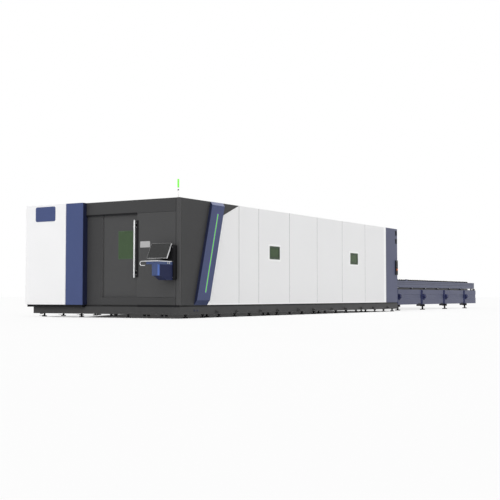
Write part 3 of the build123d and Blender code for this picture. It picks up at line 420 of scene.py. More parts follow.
def bolt(bm, place, normal, radius, height):
    """Bolt: a washer and a hexagon head turned at random."""
    normal = Vector(normal)
    washer = height * 0.25
    disc(bm, place, normal, radius * 1.5, washer, 16)
    top = Vector(place) + normal * washer
    prism(bm, circle(top, normal, radius, 6, random.random()), normal * (height - washer), radius * 0.12)


def join_rings(bm, outlines):
    """Closed skin over a round of outlines with as many points each."""
    rings = [[bm.verts.new(point) for point in outline] for outline in outlines]
    for ring, after in zip(rings, rings[1:] + rings[:1]):
        for index in range(len(ring)):
            follow = (index + 1) % len(ring)
            bm.faces.new((ring[index], ring[follow], after[follow], after[index]))


def tube_ring(bm, place, normal, outer, inner, height, count=32):
    """Flat ring standing on a place along a normal."""
    normal = Vector(normal)
    edges = ((outer, 0), (outer, height), (inner, height), (inner, 0))
    join_rings(bm, [circle(Vector(place) + normal * lift, normal, radius, count) for radius, lift in edges])


def frame_blocks(bm, low, high, along, across, width, bevel):
    """Window frame of four bars: two along one axis over the corners, then two across between them."""
    for axis, other, inset in ((across, along, 0.0), (along, across, width)):
        for start in (low[axis], high[axis] - width):
            first, second = list(low), list(high)
            first[axis], second[axis] = start, start + width
            first[other] += inset
            second[other] -= inset
            block(bm, first, second, bevel)


def piece(name, bm, material, body="machine", smooth=False):
    """Finish a mesh as a piece that rides on a body and takes its finish from a slot."""
    bmesh.ops.recalc_face_normals(bm, faces=bm.faces)
    mesh = bpy.data.meshes.new(name)
    bm.to_mesh(mesh)
    bm.free()
    mesh.materials.append(material)
    if smooth:
        for polygon in mesh.polygons:
            polygon.use_smooth = True
        mesh.set_sharp_from_angle(angle=math.radians(35))
    made = bpy.data.objects.new(name, mesh)
    bpy.context.scene.collection.objects.link(made)
    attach(made, body)
    return made


def block_piece(name, low, high, bevel, material):
    """One block as a piece of the machine's fixed body."""
    bm = bmesh.new()
    block(bm, low, high, bevel)
    piece(name, bm, material)


def prism_piece(name, outline, shift, bevel, material):
    """One prism as a piece of the machine's fixed body."""
    bm = bmesh.new()
    prism(bm, outline, shift, bevel)
    piece(name, bm, material)


def bolt_piece(name, places, normal, radius, height, material, body="machine"):
    """Bolts of one size as a piece."""
    bm = bmesh.new()
    for place in places:
        bolt(bm, place, normal, radius, height)
    piece(name, bm, material, body)


def rounded_plate(name, face_x, low, high, radius, steps, depth, bevel, material):
    """Plate on a front face; low and high are the middles of its rounded corners, in y and z."""
    corners = ((high[0], high[1]), (low[0], high[1]), (low[0], low[1]), (high[0], low[1]))
    outline = []
    for turn, (y, z) in enumerate(corners):
        for index in range(steps + 1):
            angle = math.pi / 2 * (turn + index / steps)
            outline.append((face_x, y + radius * math.cos(angle), z + radius * math.sin(angle)))
    prism_piece(name, outline, (-depth, 0, 0), bevel, material)


TO_FRONT = (-1, 0, 0)
TO_REAR = (1, 0, 0)
TO_RIGHT = (0, -1, 0)
UP = (0, 0, 1)

# Slats with burnt teeth stand for the plain slats of both pallets
TOOTH_PITCH = 0.07
TOOTH_DEPTH = 0.032
TOOTH_BURN = 0.004
SLAT_PITCH = 0.16
SLAT_THICKNESS = 0.008


def toothed_slats(node, body):
    """Row of toothed slats inside a node's box."""
    low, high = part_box(node)
    bm = bmesh.new()
    teeth = int((high[1] - low[1]) / TOOTH_PITCH)
    step = (high[1] - low[1]) / teeth
    count = int(round((high[0] - low[0] - SLAT_THICKNESS) / SLAT_PITCH)) + 1
    valley = high[2] - TOOTH_DEPTH
    for index in range(count):
        x = low[0] + SLAT_PITCH * index
        outline = [(x, high[1], low[2]), (x, low[1], low[2])]
        for tooth in range(teeth):
            y = low[1] + step * tooth
            tip = high[2] - random.uniform(0.0, TOOTH_BURN)
            outline.append((x, y, valley))
            outline += [(x, y + share * step, tip) for share in (0.4, 0.6)]
        outline.append((x, high[1], valley))
        prism(bm, outline, (SLAT_THICKNESS, 0, 0))
    made = piece(node + "_toothed", bm, slat_steel, body)
    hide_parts(node)


# Pallet trim: black tyres, hub caps and axle bolts, and two rub strips along each side
WHEEL_RADIUS = 0.05515
WHEEL_COUNT = 8
WHEEL_INSET = 0.3
WHEEL_WIDTH = 0.0364
WHEEL_FACE = 0.01
AXLE_HEIGHT = 0.055
AXLE_BOLT_RISE = 0.035
RUB_STRIP_HEIGHT = 0.012
RUB_STRIP_DEPTH = 0.003
RUB_STRIP_INSET = 0.03


def pallet_trim(level):
    """Tyres, hub caps, axle bolts and rub strips of one pallet."""
    low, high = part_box(level + "_pallet_frame")
    body = level + "_pallet"
    axle_z = low[2] + AXLE_HEIGHT
    tyres, hubs, strips, bolts = (bmesh.new() for _ in range(4))
    for side in (-1, 1):
        out = (0, side, 0)
        face = side * high[1]
        wheel_face = face - side * WHEEL_FACE
        for x in spread(low[0] + WHEEL_INSET, high[0] - WHEEL_INSET, WHEEL_COUNT):
            start = (x, wheel_face - side * WHEEL_WIDTH, axle_z)
            disc(tyres, start, out, WHEEL_RADIUS, WHEEL_WIDTH, 36, bevel=0.003)
            disc(hubs, (x, wheel_face, axle_z), out, radius=0.03, height=0.004, bevel=0.001)
            for offset in (-0.04, 0.04):
                bolt(bolts, (x + offset, face, axle_z + AXLE_BOLT_RISE), out, radius=0.007, height=0.004)
        for rise in (0.105, 0.165):
            base = axle_z + rise
            strip_end = (high[0] - RUB_STRIP_INSET, face + side * RUB_STRIP_DEPTH, base + RUB_STRIP_HEIGHT)
            block(strips, (low[0] + RUB_STRIP_INSET, face, base), strip_end, bevel=0.001)
    piece(level + "_tyres", tyres, black_plastic, body, True)
    piece(level + "_hub_caps", hubs, steel, body, True)
    piece(level + "_rub_strips", strips, navy, body)
    piece(level + "_side_bolts", bolts, black_oxide, body)


for level in ("upper", "lower"):
    toothed_slats(level + "_slats", level + "_pallet")
    pallet_trim(level)

# Plinth: adjusting lugs with bolts, lock nuts on the feet, plugs, jack screws and a black strip in the rebate as
# painted shade
LUG_FIRST = -8.729
LUG_STEPS = (0.83, 1.05)
LUG_COUNT = 11
LUG_PROFILE = ((-0.045, 0.004), (0.045, 0.004), (0.03, 0.075), (-0.03, 0.075))
LUG_DEPTH = 0.03
LUG_BOLT_RISE = 0.04
FLOOR_GAP = 0.08
plinth_low, plinth_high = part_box("plinth_sides")
right_face = plinth_low[1]
lugs = bmesh.new()
lug_bolts = []
lug_x = LUG_FIRST
for index in range(LUG_COUNT):
    outline = [(lug_x + dx, right_face, FLOOR_GAP + dz) for dx, dz in LUG_PROFILE]
    prism(lugs, outline, (0, -LUG_DEPTH, 0), bevel=0.004)
    lug_bolts.append((lug_x, right_face - LUG_DEPTH, FLOOR_GAP + LUG_BOLT_RISE))
    lug_x += LUG_STEPS[index % 2]
piece("plinth_lugs", lugs, plinth_dark)
bolt_piece("plinth_lug_bolts", lug_bolts, TO_RIGHT, 0.012, 0.012, black_paint)

FOOT_ROW = 0.06
FOOT_MARGIN = 0.3
FOOT_COUNT = 18
NUT_BASE = 0.058
NUT_HEIGHT = 0.021
PAD_TOP = 0.022
foot_nuts = bmesh.new()
for x in spread(plinth_low[0] + FOOT_MARGIN, plinth_high[0] - FOOT_MARGIN, FOOT_COUNT):
    for row in (plinth_low[1] + FOOT_ROW, plinth_high[1] - FOOT_ROW):
        hexagon = circle((x, row, NUT_BASE), UP, radius=0.036, count=6, turn=0.3)
        prism(foot_nuts, hexagon, (0, 0, NUT_HEIGHT), bevel=0.003)
        tube_ring(foot_nuts, (x, row, PAD_TOP), UP, outer=0.05, inner=0.022, height=0.006, count=20)
piece("foot_lock_nuts", foot_nuts, black_paint)

PLUG_HEIGHT = 0.163
plugs = bmesh.new()
for x in (-9.59, -9.477):
    disc(plugs, (x, right_face, PLUG_HEIGHT), TO_RIGHT, radius=0.022, height=0.006, bevel=0.002)
piece("plinth_plugs", plugs, navy, smooth=True)

JACK_BASE = 0.038
jacks = bmesh.new()
for y in (-0.265, -0.388, -1.175, -1.288, -1.642, -1.754):
    place = (plinth_low[0] + FOOT_ROW, y, JACK_BASE)
    disc(jacks, place, UP, radius=0.03, height=FLOOR_GAP - JACK_BASE, bevel=0.002)
piece("front_jack_screws", jacks, black_paint)

REBATE_LOW = 0.24
REBATE_HIGH = 0.2795
REBATE_END = -1.03
REBATE_INSET = 0.01
REBATE_DEPTH = 0.003
# Black strip in the plinth's top rebate: painted shade
block_piece(
    "plinth_rebate_shade",
    (plinth_low[0] - REBATE_DEPTH, right_face + REBATE_INSET, REBATE_LOW),
    (plinth_low[0], REBATE_END, REBATE_HIGH),
    bevel=0.001, material=black_paint,
)

# Front door: window trim, handle mounts and rings; beside it the landing strip, a lighter left panel edge as
# painted light, and label
TRIM_WIDTH = 0.022
TRIM_DEPTH = 0.003
door_low, door_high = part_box("front_door")
pane_low, pane_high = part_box("door_window")
handle_low, handle_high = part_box("door_handle")
door_face = door_low[0]
trim = bmesh.new()
trim_low = (door_face - TRIM_DEPTH, pane_low[1] - TRIM_WIDTH, pane_low[2] - TRIM_WIDTH)
trim_high = (door_face, pane_high[1] + TRIM_WIDTH, pane_high[2] + TRIM_WIDTH)
frame_blocks(trim, trim_low, trim_high, along=2, across=1, width=TRIM_WIDTH, bevel=0.001)
piece("door_window_trim", trim, trim_green, "front_door")

HANDLE_RADIUS = 0.02
BACK_STRIP_Y = (-1.006, -0.95)
BACK_STRIP_DEPTH = 0.012
BACK_STRIP_INSET = 0.01
BRACKET_START_Y = -1.003
BRACKET_GAP = 0.002
BRACKET_HALF = 0.06
BRACKET_INSET = 0.11
STANDOFF_START = 0.019
HANDLE_RING_INSET = 0.012
handle_y = middle_of("door_handle")[1]
handle_x = handle_low[0] + HANDLE_RADIUS
back_x = door_face - BACK_STRIP_DEPTH
strip_base = handle_low[2] + BACK_STRIP_INSET
strip_top = handle_high[2] - BACK_STRIP_INSET
bracket_heights = (handle_low[2] + BRACKET_INSET, handle_high[2] - BRACKET_INSET)
mounts = bmesh.new()
block(mounts, (back_x, BACK_STRIP_Y[0], strip_base), (door_face, BACK_STRIP_Y[1], strip_top), bevel=0.002)
for height in bracket_heights:
    bracket_low = (back_x, BRACKET_START_Y, height - BRACKET_HALF)
    bracket_high = (door_face - BRACKET_GAP, handle_y + HANDLE_RADIUS, height + BRACKET_HALF)
    block(mounts, bracket_low, bracket_high, bevel=0.003)
    standoff_x = handle_x + STANDOFF_START
    disc(mounts, (standoff_x, handle_y, height), TO_REAR, radius=0.0165, height=door_face - standoff_x, count=28)
piece("door_handle_mounts", mounts, black_paint, "front_door")
rings = bmesh.new()
for height, way in ((handle_low[2], 1), (handle_high[2], -1)):
    place = (handle_x, handle_y, height + way * HANDLE_RING_INSET)
    tube_ring(rings, place, (0, 0, way), outer=0.0204, inner=0.0195, height=0.004, count=40)
piece("door_handle_rings", rings, black_oxide, "front_door", True)
places = [(back_x, handle_y, height + rise) for height in bracket_heights for rise in (-0.042, 0.042)]
bolt_piece("door_mount_bolts", places, TO_FRONT, 0.007, 0.006, steel, "front_door")

LANDING_DEPTH = 0.008
LANDING_INSETS = (0.042, 0.004)
fixed_low, fixed_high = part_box("front_fixed_panel")
block_piece(
    "handle_landing_strip",
    (fixed_low[0] - LANDING_DEPTH, fixed_high[1] - LANDING_INSETS[0], strip_base),
    (fixed_low[0], fixed_high[1] - LANDING_INSETS[1], strip_top),
    bevel=0.002, material=black_paint,
)
PANEL_EDGE_DEPTH = 0.001
PANEL_EDGE_INSET = 0.04
panel_low, panel_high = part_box("front_left_panel")
# Lighter grey plate on the left panel's edge face: painted light that cancels the shade in the doorway
block_piece(
    "left_panel_highlight",
    (panel_low[0], panel_low[1] - PANEL_EDGE_DEPTH, door_low[2] + PANEL_EDGE_INSET),
    (panel_high[0], panel_low[1], door_high[2] - PANEL_EDGE_INSET),
    bevel=0.0, material=edge_highlight_grey,
)
rounded_plate(
    "plain_label_plate",
    fixed_low[0], low=(-1.352, 1.524), high=(-1.108, 1.636),
    radius=0.01, steps=4, depth=0.0015, bevel=0.0005,
    material=label_grey,
)

# Pillars: navy skins on the flanks of both blue pillars as painted shade, lighter and darker plates on the end
# facets as painted highlight and painted shade, and the light strip's violet edge
FLANK_DEPTH = 0.002
FLANK_SETBACK = 0.016
pillar_low, pillar_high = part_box("front_pillar")
# Navy skin on the front pillar's right flank: painted shade over the pillar's own blue
block_piece(
    "front_pillar_shade",
    (pillar_low[0] + FLANK_SETBACK, pillar_low[1] - FLANK_DEPTH, pillar_low[2] + FLANK_DEPTH),
    (back_x, pillar_low[1], pillar_high[2] - FLANK_DEPTH),
    bevel=0.0005, material=navy,
)

SLANT_START = 0.53
SLANT_WIDTH = 0.497
SLANT_FACET_LOW = 0.105
SLANT_FACET_HIGH = 0.075
FLANK_WALL_GAP = 0.001
FLANK_END_GAP = 0.003
FACET_PLATE = 0.001
FACET_INSET = 0.004
slant_low, slant_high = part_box("right_slant_pillar")
post_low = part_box("corner_post")[0]
face_y = slant_low[1]
wall_y = post_low[1]


def slant_x(height, across=0.0):
    """Place along x of a line on the slanted pillar."""
    return post_low[0] + SLANT_START + across + SLANT_LEAN * (height - slant_low[2])


def facet_plate(name, face_z, wall_z, material):
    """Thin plate on one of the pillar's end facets, between its face edge and its wall edge, carrying painted
    highlight or painted shade.
    """
    edge = Vector((0, wall_y - face_y, wall_z - face_z))
    inset = edge.normalized() * FACET_INSET
    face_end = (face_y + inset.y, face_z + inset.z)
    wall_end = (wall_y - inset.y, wall_z - inset.z)
    near, far = FACET_INSET, SLANT_WIDTH - FACET_INSET
    outline = []
    for (y, z), across in ((face_end, near), (face_end, far), (wall_end, far), (wall_end, near)):
        outline.append((slant_x(z, across), y, z))
    outward = Vector((0, -abs(edge.z), math.copysign(edge.y, edge.z))).normalized()
    prism_piece(name, outline, outward * FACET_PLATE, 0.0, material)


# Navy skin on the slanted pillar's flank: painted shade over the pillar's own blue
flank_shade_outline = []
for y, z in (
    (wall_y - FLANK_WALL_GAP, slant_low[2] + FLANK_END_GAP),
    (face_y + FLANK_DEPTH, slant_low[2] + SLANT_FACET_LOW),
    (face_y + FLANK_DEPTH, slant_high[2] - SLANT_FACET_HIGH),
    (wall_y - FLANK_WALL_GAP, slant_high[2] - FLANK_END_GAP),
):
    flank_shade_outline.append((slant_x(z) - FLANK_DEPTH, y, z))
prism_piece("slant_pillar_shade", flank_shade_outline, (FLANK_DEPTH, 0, 0), 0.0, navy)
# Lighter top facet plate is painted highlight, darker low facet plate is painted shade
facet_plate("slant_facet_top_highlight", slant_high[2] - SLANT_FACET_HIGH, slant_high[2], facet_highlight)
facet_plate("slant_facet_low_shade", slant_low[2] + SLANT_FACET_LOW, slant_low[2], facet_shade)

HALO_WIDTH = 0.024
HALO_SLOPE = 0.002
HALO_LIFT = 0.0008
HALO_GAP = 0.0004
STRIP_HALF = 0.021
CAPSULE_STEPS = 12
strip_low, strip_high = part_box("light_strip")
lean = math.atan2(1.0, SLANT_LEAN)
strip_way = Vector((math.cos(lean), 0, math.sin(lean)))
strip_side = Vector((math.sin(lean), 0, -math.cos(lean)))
strip_middle = Vector(middle_of("light_strip"))
strip_middle.y = face_y
strip_reach = (strip_high[2] - strip_low[2] - 2 * STRIP_HALF) / 2 / math.sin(lean)


def capsule(half_width, lift):
    """Outline round the strip's rounded slot, lifted off the pillar's face."""
    points = []
    for end in (1, -1):
        for index in range(CAPSULE_STEPS + 1):
            angle = math.pi * index / CAPSULE_STEPS
            along = end * (strip_reach + half_width * math.sin(angle))
            across = end * half_width * math.cos(angle)
            points.append(strip_middle + strip_way * along + strip_side * across + Vector((0, -lift, 0)))
    return points


halo_outer = STRIP_HALF + HALO_WIDTH
halo_inner = STRIP_HALF + HALO_GAP
halo_edges = ((halo_outer, 0.0), (halo_outer - HALO_SLOPE, HALO_LIFT), (halo_inner, HALO_LIFT), (halo_inner, 0.0))
halo_ring = bmesh.new()
join_rings(halo_ring, [capsule(half_width, lift) for half_width, lift in halo_edges])
piece("light_strip_edge", halo_ring, halo)

# Front cabinet: plain plate, and a black strip under the cabinet and the pillar as painted shade
UNDER_SHADE_HEIGHT = 0.052
UNDER_SHADE_SETBACK = 0.03
UNDER_SHADE_GAP = 0.001
UNDER_SHADE_INSETS = (0.02, 0.042)
cabinet_low, cabinet_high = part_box("front_cabinet")
rounded_plate(
    "plain_plate",
    cabinet_low[0], low=(1.27, 2.21), high=(1.79, 2.465),
    radius=0.04, steps=6, depth=0.006, bevel=0.002,
    material=blue,
)
# Black strip under the cabinet and the pillar: painted shade of the gap above the plinth
block_piece(
    "cabinet_under_shade",
    (cabinet_low[0] + UNDER_SHADE_SETBACK, pillar_low[1] + UNDER_SHADE_INSETS[0], cabinet_low[2] - UNDER_SHADE_HEIGHT),
    (plinth_low[0] - UNDER_SHADE_GAP, cabinet_high[1] - UNDER_SHADE_INSETS[1], cabinet_low[2]),
    bevel=0.002, material=black_paint,
)

# Console: screen, keys, button collars and box screws
TILT = math.radians(28.0)
MONITOR_HEIGHT = 0.362
MONITOR_WIDTH = 0.52
MONITOR_THICKNESS = 0.03
monitor_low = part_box("monitor")[0]
monitor_up = Vector((math.sin(TILT), 0, math.cos(TILT)))
monitor_out = Vector((-math.cos(TILT), 0, math.sin(TILT)))
base_rise = MONITOR_THICKNESS * math.sin(TILT)
monitor_base = Vector((monitor_low[0], middle_of("monitor")[1], monitor_low[2] + base_rise))


def screen_layer(name, inset, lift, depth, bevel, material):
    """Sheet on the monitor's face, inset from its edges and lifted off it."""
    half = MONITOR_WIDTH / 2 - inset
    top = MONITOR_HEIGHT - inset
    outline = []
    for across, rise in ((-half, inset), (half, inset), (half, top), (-half, top)):
        outline.append(monitor_base + Vector((0, across, 0)) + monitor_up * rise + monitor_out * lift)
    prism_piece(name, outline, monitor_out * depth, bevel, material)


screen_layer("monitor_bezel", 0.001, 0.0001, 0.0006, 0.0003, bezel_grey)
screen_layer("monitor_screen", 0.012, 0.0007, 0.0011, 0.0006, screen_glass)
screen_layer("monitor_display", 0.03, 0.0018, 0.0004, 0.0, display)

KEY_ROWS = 5
KEY_COLUMNS = 15
KEY_MARGIN = 0.01
KEY_GAP = 0.0015
KEY_SINK = 0.003
KEY_PROUD = 0.002
SPACE_FIRST = 4
SPACE_KEYS = 6
KEYBOARD_FRONT = 0.011
KEYBOARD_RISE = 0.011
board_low, board_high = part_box("keyboard")
keys = bmesh.new()
key_depth = (board_high[0] - board_low[0] - 2 * KEY_MARGIN) / KEY_ROWS
key_width = (board_high[1] - board_low[1] - 2 * KEY_MARGIN) / KEY_COLUMNS
slope = KEYBOARD_RISE / (board_high[0] - board_low[0])
for row in range(KEY_ROWS):
    x = board_low[0] + KEY_MARGIN + key_depth * row
    top = board_low[2] + KEYBOARD_FRONT + slope * (x + key_depth / 2 - board_low[0])
    for column in range(KEY_COLUMNS):
        if row == 0 and SPACE_FIRST < column < SPACE_FIRST + SPACE_KEYS:
            continue
        width = key_width * (SPACE_KEYS if row == 0 and column == SPACE_FIRST else 1)
        y = board_low[1] + KEY_MARGIN + key_width * column
        key_low = (x + KEY_GAP, y + KEY_GAP, top - KEY_SINK)
        key_high = (x + key_depth - KEY_GAP, y + width - KEY_GAP, top + KEY_PROUD)
        block(keys, key_low, key_high, bevel=0.0008)
piece("keyboard_pads", keys, key_plastic)

ARM_FACE_Y = -2.044
collars = bmesh.new()
for name in ("console_button_1", "console_button_2"):
    x, _, z = middle_of(name)
    tube_ring(collars, (x, ARM_FACE_Y, z), TO_RIGHT, outer=0.0165, inner=0.0125, height=0.006)
piece("button_collars", collars, steel, smooth=True)

BOX_FACE_X = -10.26
BOX_SCREW_INSET = 0.03
BOX_SCREW_FAR_Y = -1.76
box_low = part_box("console_back_box")[0]
box_screw_ys = (box_low[1] + BOX_SCREW_INSET, BOX_SCREW_FAR_Y)
places = [(BOX_FACE_X, y, z) for y in box_screw_ys for z in (0.86, 1.5)]
bolt_piece("console_screws", places, TO_FRONT, 0.005, 0.004, steel)

# Side windows: glazing beads and screws
WINDOW_WIDTH = 0.494
WINDOW_HEIGHT = 0.318
WINDOW_FRAME = 0.034
SCREW_INSET = 0.017
BEAD_WIDTH = 0.01
BEAD_DEPTH = 0.007
panes_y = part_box("side_window_panes")[0][1]
frames_low, frames_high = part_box("side_window_frames")
window_starts = (frames_low[0], frames_high[0] - WINDOW_WIDTH)
window_screws = []
beads = bmesh.new()
for start in window_starts:
    for dx in (SCREW_INSET, WINDOW_WIDTH / 2, WINDOW_WIDTH - SCREW_INSET):
        for dz in (SCREW_INSET, WINDOW_HEIGHT - SCREW_INSET):
            window_screws.append((start + dx, frames_low[1], frames_low[2] + dz))
    bead_low = (start + WINDOW_FRAME, panes_y - BEAD_DEPTH, frames_low[2] + WINDOW_FRAME)
    bead_high = (start + WINDOW_WIDTH - WINDOW_FRAME, panes_y, frames_high[2] - WINDOW_FRAME)
    frame_blocks(beads, bead_low, bead_high, along=0, across=2, width=BEAD_WIDTH, bevel=0.002)
piece("side_window_beads", beads, black_plastic)
bolt_piece("side_window_screws", window_screws, TO_RIGHT, 0.005, 0.004, steel)

# Rear portal: black louvres in the vents, and the control box's fittings
VENT_LOW_X = 1.297
VENT_HIGH_X = 1.431
VENT_HEIGHT = 0.147
VENT_BACK_Y = -2.1202
VENT_PLATE_Y = -2.1225
BLADE_EDGE_Y = -2.138
BLADE_COUNT = 6
BLADE_START = 0.012
BLADE_PITCH = 0.0245
BLADE_DROP = 0.016
BLADE_THICKNESS = 0.004
louvres = bmesh.new()
for top in (2.488, 2.238):
    block(louvres, (VENT_LOW_X, VENT_PLATE_Y, top - VENT_HEIGHT), (VENT_HIGH_X, VENT_BACK_Y, top))
    for blade in range(BLADE_COUNT):
        z = top - BLADE_START - BLADE_PITCH * blade
        outline = [
            (VENT_LOW_X, BLADE_EDGE_Y, z - BLADE_DROP),
            (VENT_LOW_X, VENT_PLATE_Y, z),
            (VENT_LOW_X, VENT_PLATE_Y, z - BLADE_THICKNESS),
            (VENT_LOW_X, BLADE_EDGE_Y, z - BLADE_DROP - BLADE_THICKNESS),
        ]
        prism(louvres, outline, (VENT_HIGH_X - VENT_LOW_X, 0, 0))
piece("portal_louvres", louvres, black_paint)

CONTROL_INSET = 0.016
control_low, control_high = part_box("rear_control_box")
stop_x, _, stop_z = middle_of("rear_stop_button")
stop_collar = bmesh.new()
stop_place = (stop_x, control_low[1], stop_z)
tube_ring(stop_collar, stop_place, TO_RIGHT, outer=0.033, inner=0.0245, height=0.004, count=40)
piece("stop_button_collar", stop_collar, amber_plastic, smooth=True)
fittings = bmesh.new()
for rise in (0.1, 0.17, 0.24):
    place = (stop_x, control_low[1], stop_z + rise)
    tube_ring(fittings, place, TO_RIGHT, outer=0.014, inner=0.009, height=0.003, count=28)
    disc(fittings, place, TO_RIGHT, radius=0.008, height=0.002, bevel=0.001)
for x in (control_low[0] + CONTROL_INSET, control_high[0] - CONTROL_INSET):
    for z in (control_low[2] + CONTROL_INSET, control_high[2] - CONTROL_INSET):
        bolt(fittings, (x, control_low[1], z), TO_RIGHT, radius=0.004, height=0.003)
piece("control_box_fittings", fittings, steel, smooth=True)

# Exchange table: post facings, cover flanges and bolts, foot plates and end stops
TABLE_START = 1.5
TABLE_FOOT_PITCH = 2.181
TABLE_FOOT_COUNT = 4
COVER_Z = 0.4585
COVER_OFFSET = 0.111
COVER_BOLT_RADIUS = 0.028
COVER_BOLT_COUNT = 6
FLANGE_DROP = 0.02
FACING_DEPTH = 0.014
FACING_SPAN = (-0.157, -0.021)
FACING_END_GAP = 0.002
POST_OFFSET = -0.089
FOOT_PLATE_SPAN = (-0.43, -0.17)
FOOT_PLATE_RISES = (0.004, 0.03)
FOOT_PLATE_DEPTH = 0.004
END_STOP_LENGTH = 0.25
END_STOP_INSET = 0.08
END_STOP_RISE = 0.062
covers_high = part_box("lift_drive_covers")[1]
side_low, side_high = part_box("table_sides")
cover_bolts, foot_plates, facings, flanges = (bmesh.new() for _ in range(4))
for index in range(TABLE_FOOT_COUNT):
    foot_x = side_low[0] + TABLE_START + TABLE_FOOT_PITCH * index
    cover_x = foot_x + COVER_OFFSET
    for side in (-1, 1):
        out = (0, side, 0)
        side_y = side * side_high[1]
        cover_face = side * covers_high[1]
        for spoke in range(COVER_BOLT_COUNT):
            angle = 2 * math.pi * spoke / COVER_BOLT_COUNT
            across = COVER_BOLT_RADIUS * math.cos(angle)
            place = (cover_x + across, cover_face, COVER_Z + COVER_BOLT_RADIUS * math.sin(angle))
            bolt(cover_bolts, place, out, radius=0.005, height=0.004)
        post_face = side * (side_high[1] + FACING_DEPTH)
        for rise in (0.05, 0.25, 0.45):
            for offset in (-0.05, 0.05):
                place = (foot_x + POST_OFFSET + offset, post_face, side_low[2] + rise)
                bolt(cover_bolts, place, out, radius=0.007, height=0.005)
        place = (cover_x, side_y, COVER_Z - FLANGE_DROP)
        disc(flanges, place, out, radius=0.1, height=0.01, count=40, bevel=0.003)
        facing_low = (foot_x + FACING_SPAN[0], side_y, side_low[2] + FACING_END_GAP)
        facing_high = (foot_x + FACING_SPAN[1], post_face, side_high[2] - FACING_END_GAP)
        block(facings, facing_low, facing_high, bevel=0.0015)
        lip_y = side * (side_high[1] + FOOT_PLATE_DEPTH)
        plate_low = (foot_x + FOOT_PLATE_SPAN[0], side_y, side_low[2] + FOOT_PLATE_RISES[0])
        plate_high = (foot_x + FOOT_PLATE_SPAN[1], lip_y, side_low[2] + FOOT_PLATE_RISES[1])
        block(foot_plates, plate_low, plate_high, bevel=0.0015)
piece("table_cover_bolts", cover_bolts, black_oxide)
piece("table_foot_plates", foot_plates, black_paint)
piece("drive_post_facings", facings, facing_navy)
piece("drive_flanges", flanges, facing_navy, smooth=True)

end_stops = bmesh.new()
end_x = side_high[0] - END_STOP_INSET
for side in (-1, 1):
    face, back = (side * (side_high[1] - setback) for setback in (0.002, 0.022))
    stop_end = (end_x, back, side_high[2] + END_STOP_RISE)
    block(end_stops, (end_x - END_STOP_LENGTH, face, side_high[2]), stop_end, bevel=0.003)
piece("table_end_stops", end_stops, black_paint)

# Black sealing strips in the joints between the white panels
SEAL_SETBACK = 0.003
SEAL_BACK = 0.03
SEAL_END_GAP = 0.002
PANEL_GAP = 0.008
SEAL_LOW = 0.284
SEAL_HIGH = 2.546
LEAD_X = -7.802
SHORT_X = -6.917
PORTAL_X = 0.579
LONG_COUNT = 5
LEFT_COUNT = 7
ROOF_COUNT = 6
left_low, left_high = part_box("left_panels")
roof_low, roof_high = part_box("roof_panels")
seals = bmesh.new()
for x in [LEAD_X] + spread(SHORT_X, PORTAL_X, LONG_COUNT + 1):
    block(seals, (x, right_face + SEAL_SETBACK, SEAL_LOW), (x + PANEL_GAP, right_face + SEAL_BACK, SEAL_HIGH))
for x in spread(left_low[0] - PANEL_GAP, left_high[0], LEFT_COUNT + 1)[1:-1]:
    seal_high = (x + PANEL_GAP, left_high[1] - SEAL_SETBACK, SEAL_HIGH)
    block(seals, (x, left_high[1] - SEAL_BACK, SEAL_LOW), seal_high)
for x in spread(roof_low[0] - PANEL_GAP, roof_high[0], ROOF_COUNT + 1)[1:-1]:
    seal_high = (x + PANEL_GAP, roof_high[1] - SEAL_END_GAP, roof_high[2] - SEAL_SETBACK)
    block(seals, (x, roof_low[1] + SEAL_END_GAP, roof_high[2] - SEAL_BACK), seal_high)
piece("panel_seals", seals, black_plastic)

# Bright white trim: window surrounds and strips along the foot and the portal, and a painted highlight strip
# along the pillar
SURROUND = 0.045
SURROUND_DEPTH = 0.004
PILLAR_HIGHLIGHT = 0.11
PILLAR_HIGHLIGHT_GAP = 0.006
PILLAR_HIGHLIGHT_DEPTH = 0.002
PILLAR_HIGHLIGHT_ENDS = (0.29, 2.241)
BASE_STRIP = 0.024
BASE_STRIP_GAP = 0.02
PORTAL_STRIP = 0.15
PORTAL_STRIP_GAP = 0.01
THIN_STRIP = 0.001
surrounds = bmesh.new()
for start in window_starts:
    outer_low = (start - SURROUND, right_face - SURROUND_DEPTH, frames_low[2] - SURROUND)
    outer_high = (start + WINDOW_WIDTH + SURROUND, right_face, frames_high[2] + SURROUND)
    frame_blocks(surrounds, outer_low, outer_high, along=0, across=2, width=SURROUND, bevel=0.001)
# Bright strip beside the slanted pillar: painted highlight of the white panel's folded edge
near = SLANT_WIDTH + PILLAR_HIGHLIGHT_GAP
far = near + PILLAR_HIGHLIGHT
base_z, top_z = PILLAR_HIGHLIGHT_ENDS
outline = []
for z, across in ((base_z, near), (base_z, far), (top_z, far), (top_z, near)):
    outline.append((slant_x(z, across), right_face, z))
prism(surrounds, outline, (0, -PILLAR_HIGHLIGHT_DEPTH, 0), bevel=0.0005)
base_low, base_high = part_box("right_plain_panels")
strip_start = slant_x(base_low[2], SLANT_WIDTH + BASE_STRIP_GAP)
strip_z = base_low[2] + BASE_STRIP
strip_y = right_face - THIN_STRIP
block(surrounds, (strip_start, strip_y, base_low[2]), (base_high[0], right_face, strip_z))
portal_end = (base_high[0], right_face, base_high[2] - PORTAL_STRIP_GAP)
block(surrounds, (base_high[0] - PORTAL_STRIP, strip_y, strip_z), portal_end)
piece("bright_trim_and_highlight", surrounds, bright_white)

# Black strip under the front header: painted shade of the gap above the door
GAP_SHADE_HALF = 0.016
GAP_SHADE_PROUD = 0.003
GAP_SHADE_BACK = 0.03
GAP_SHADE_END_GAP = 0.002
header_low, header_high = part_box("front_header")
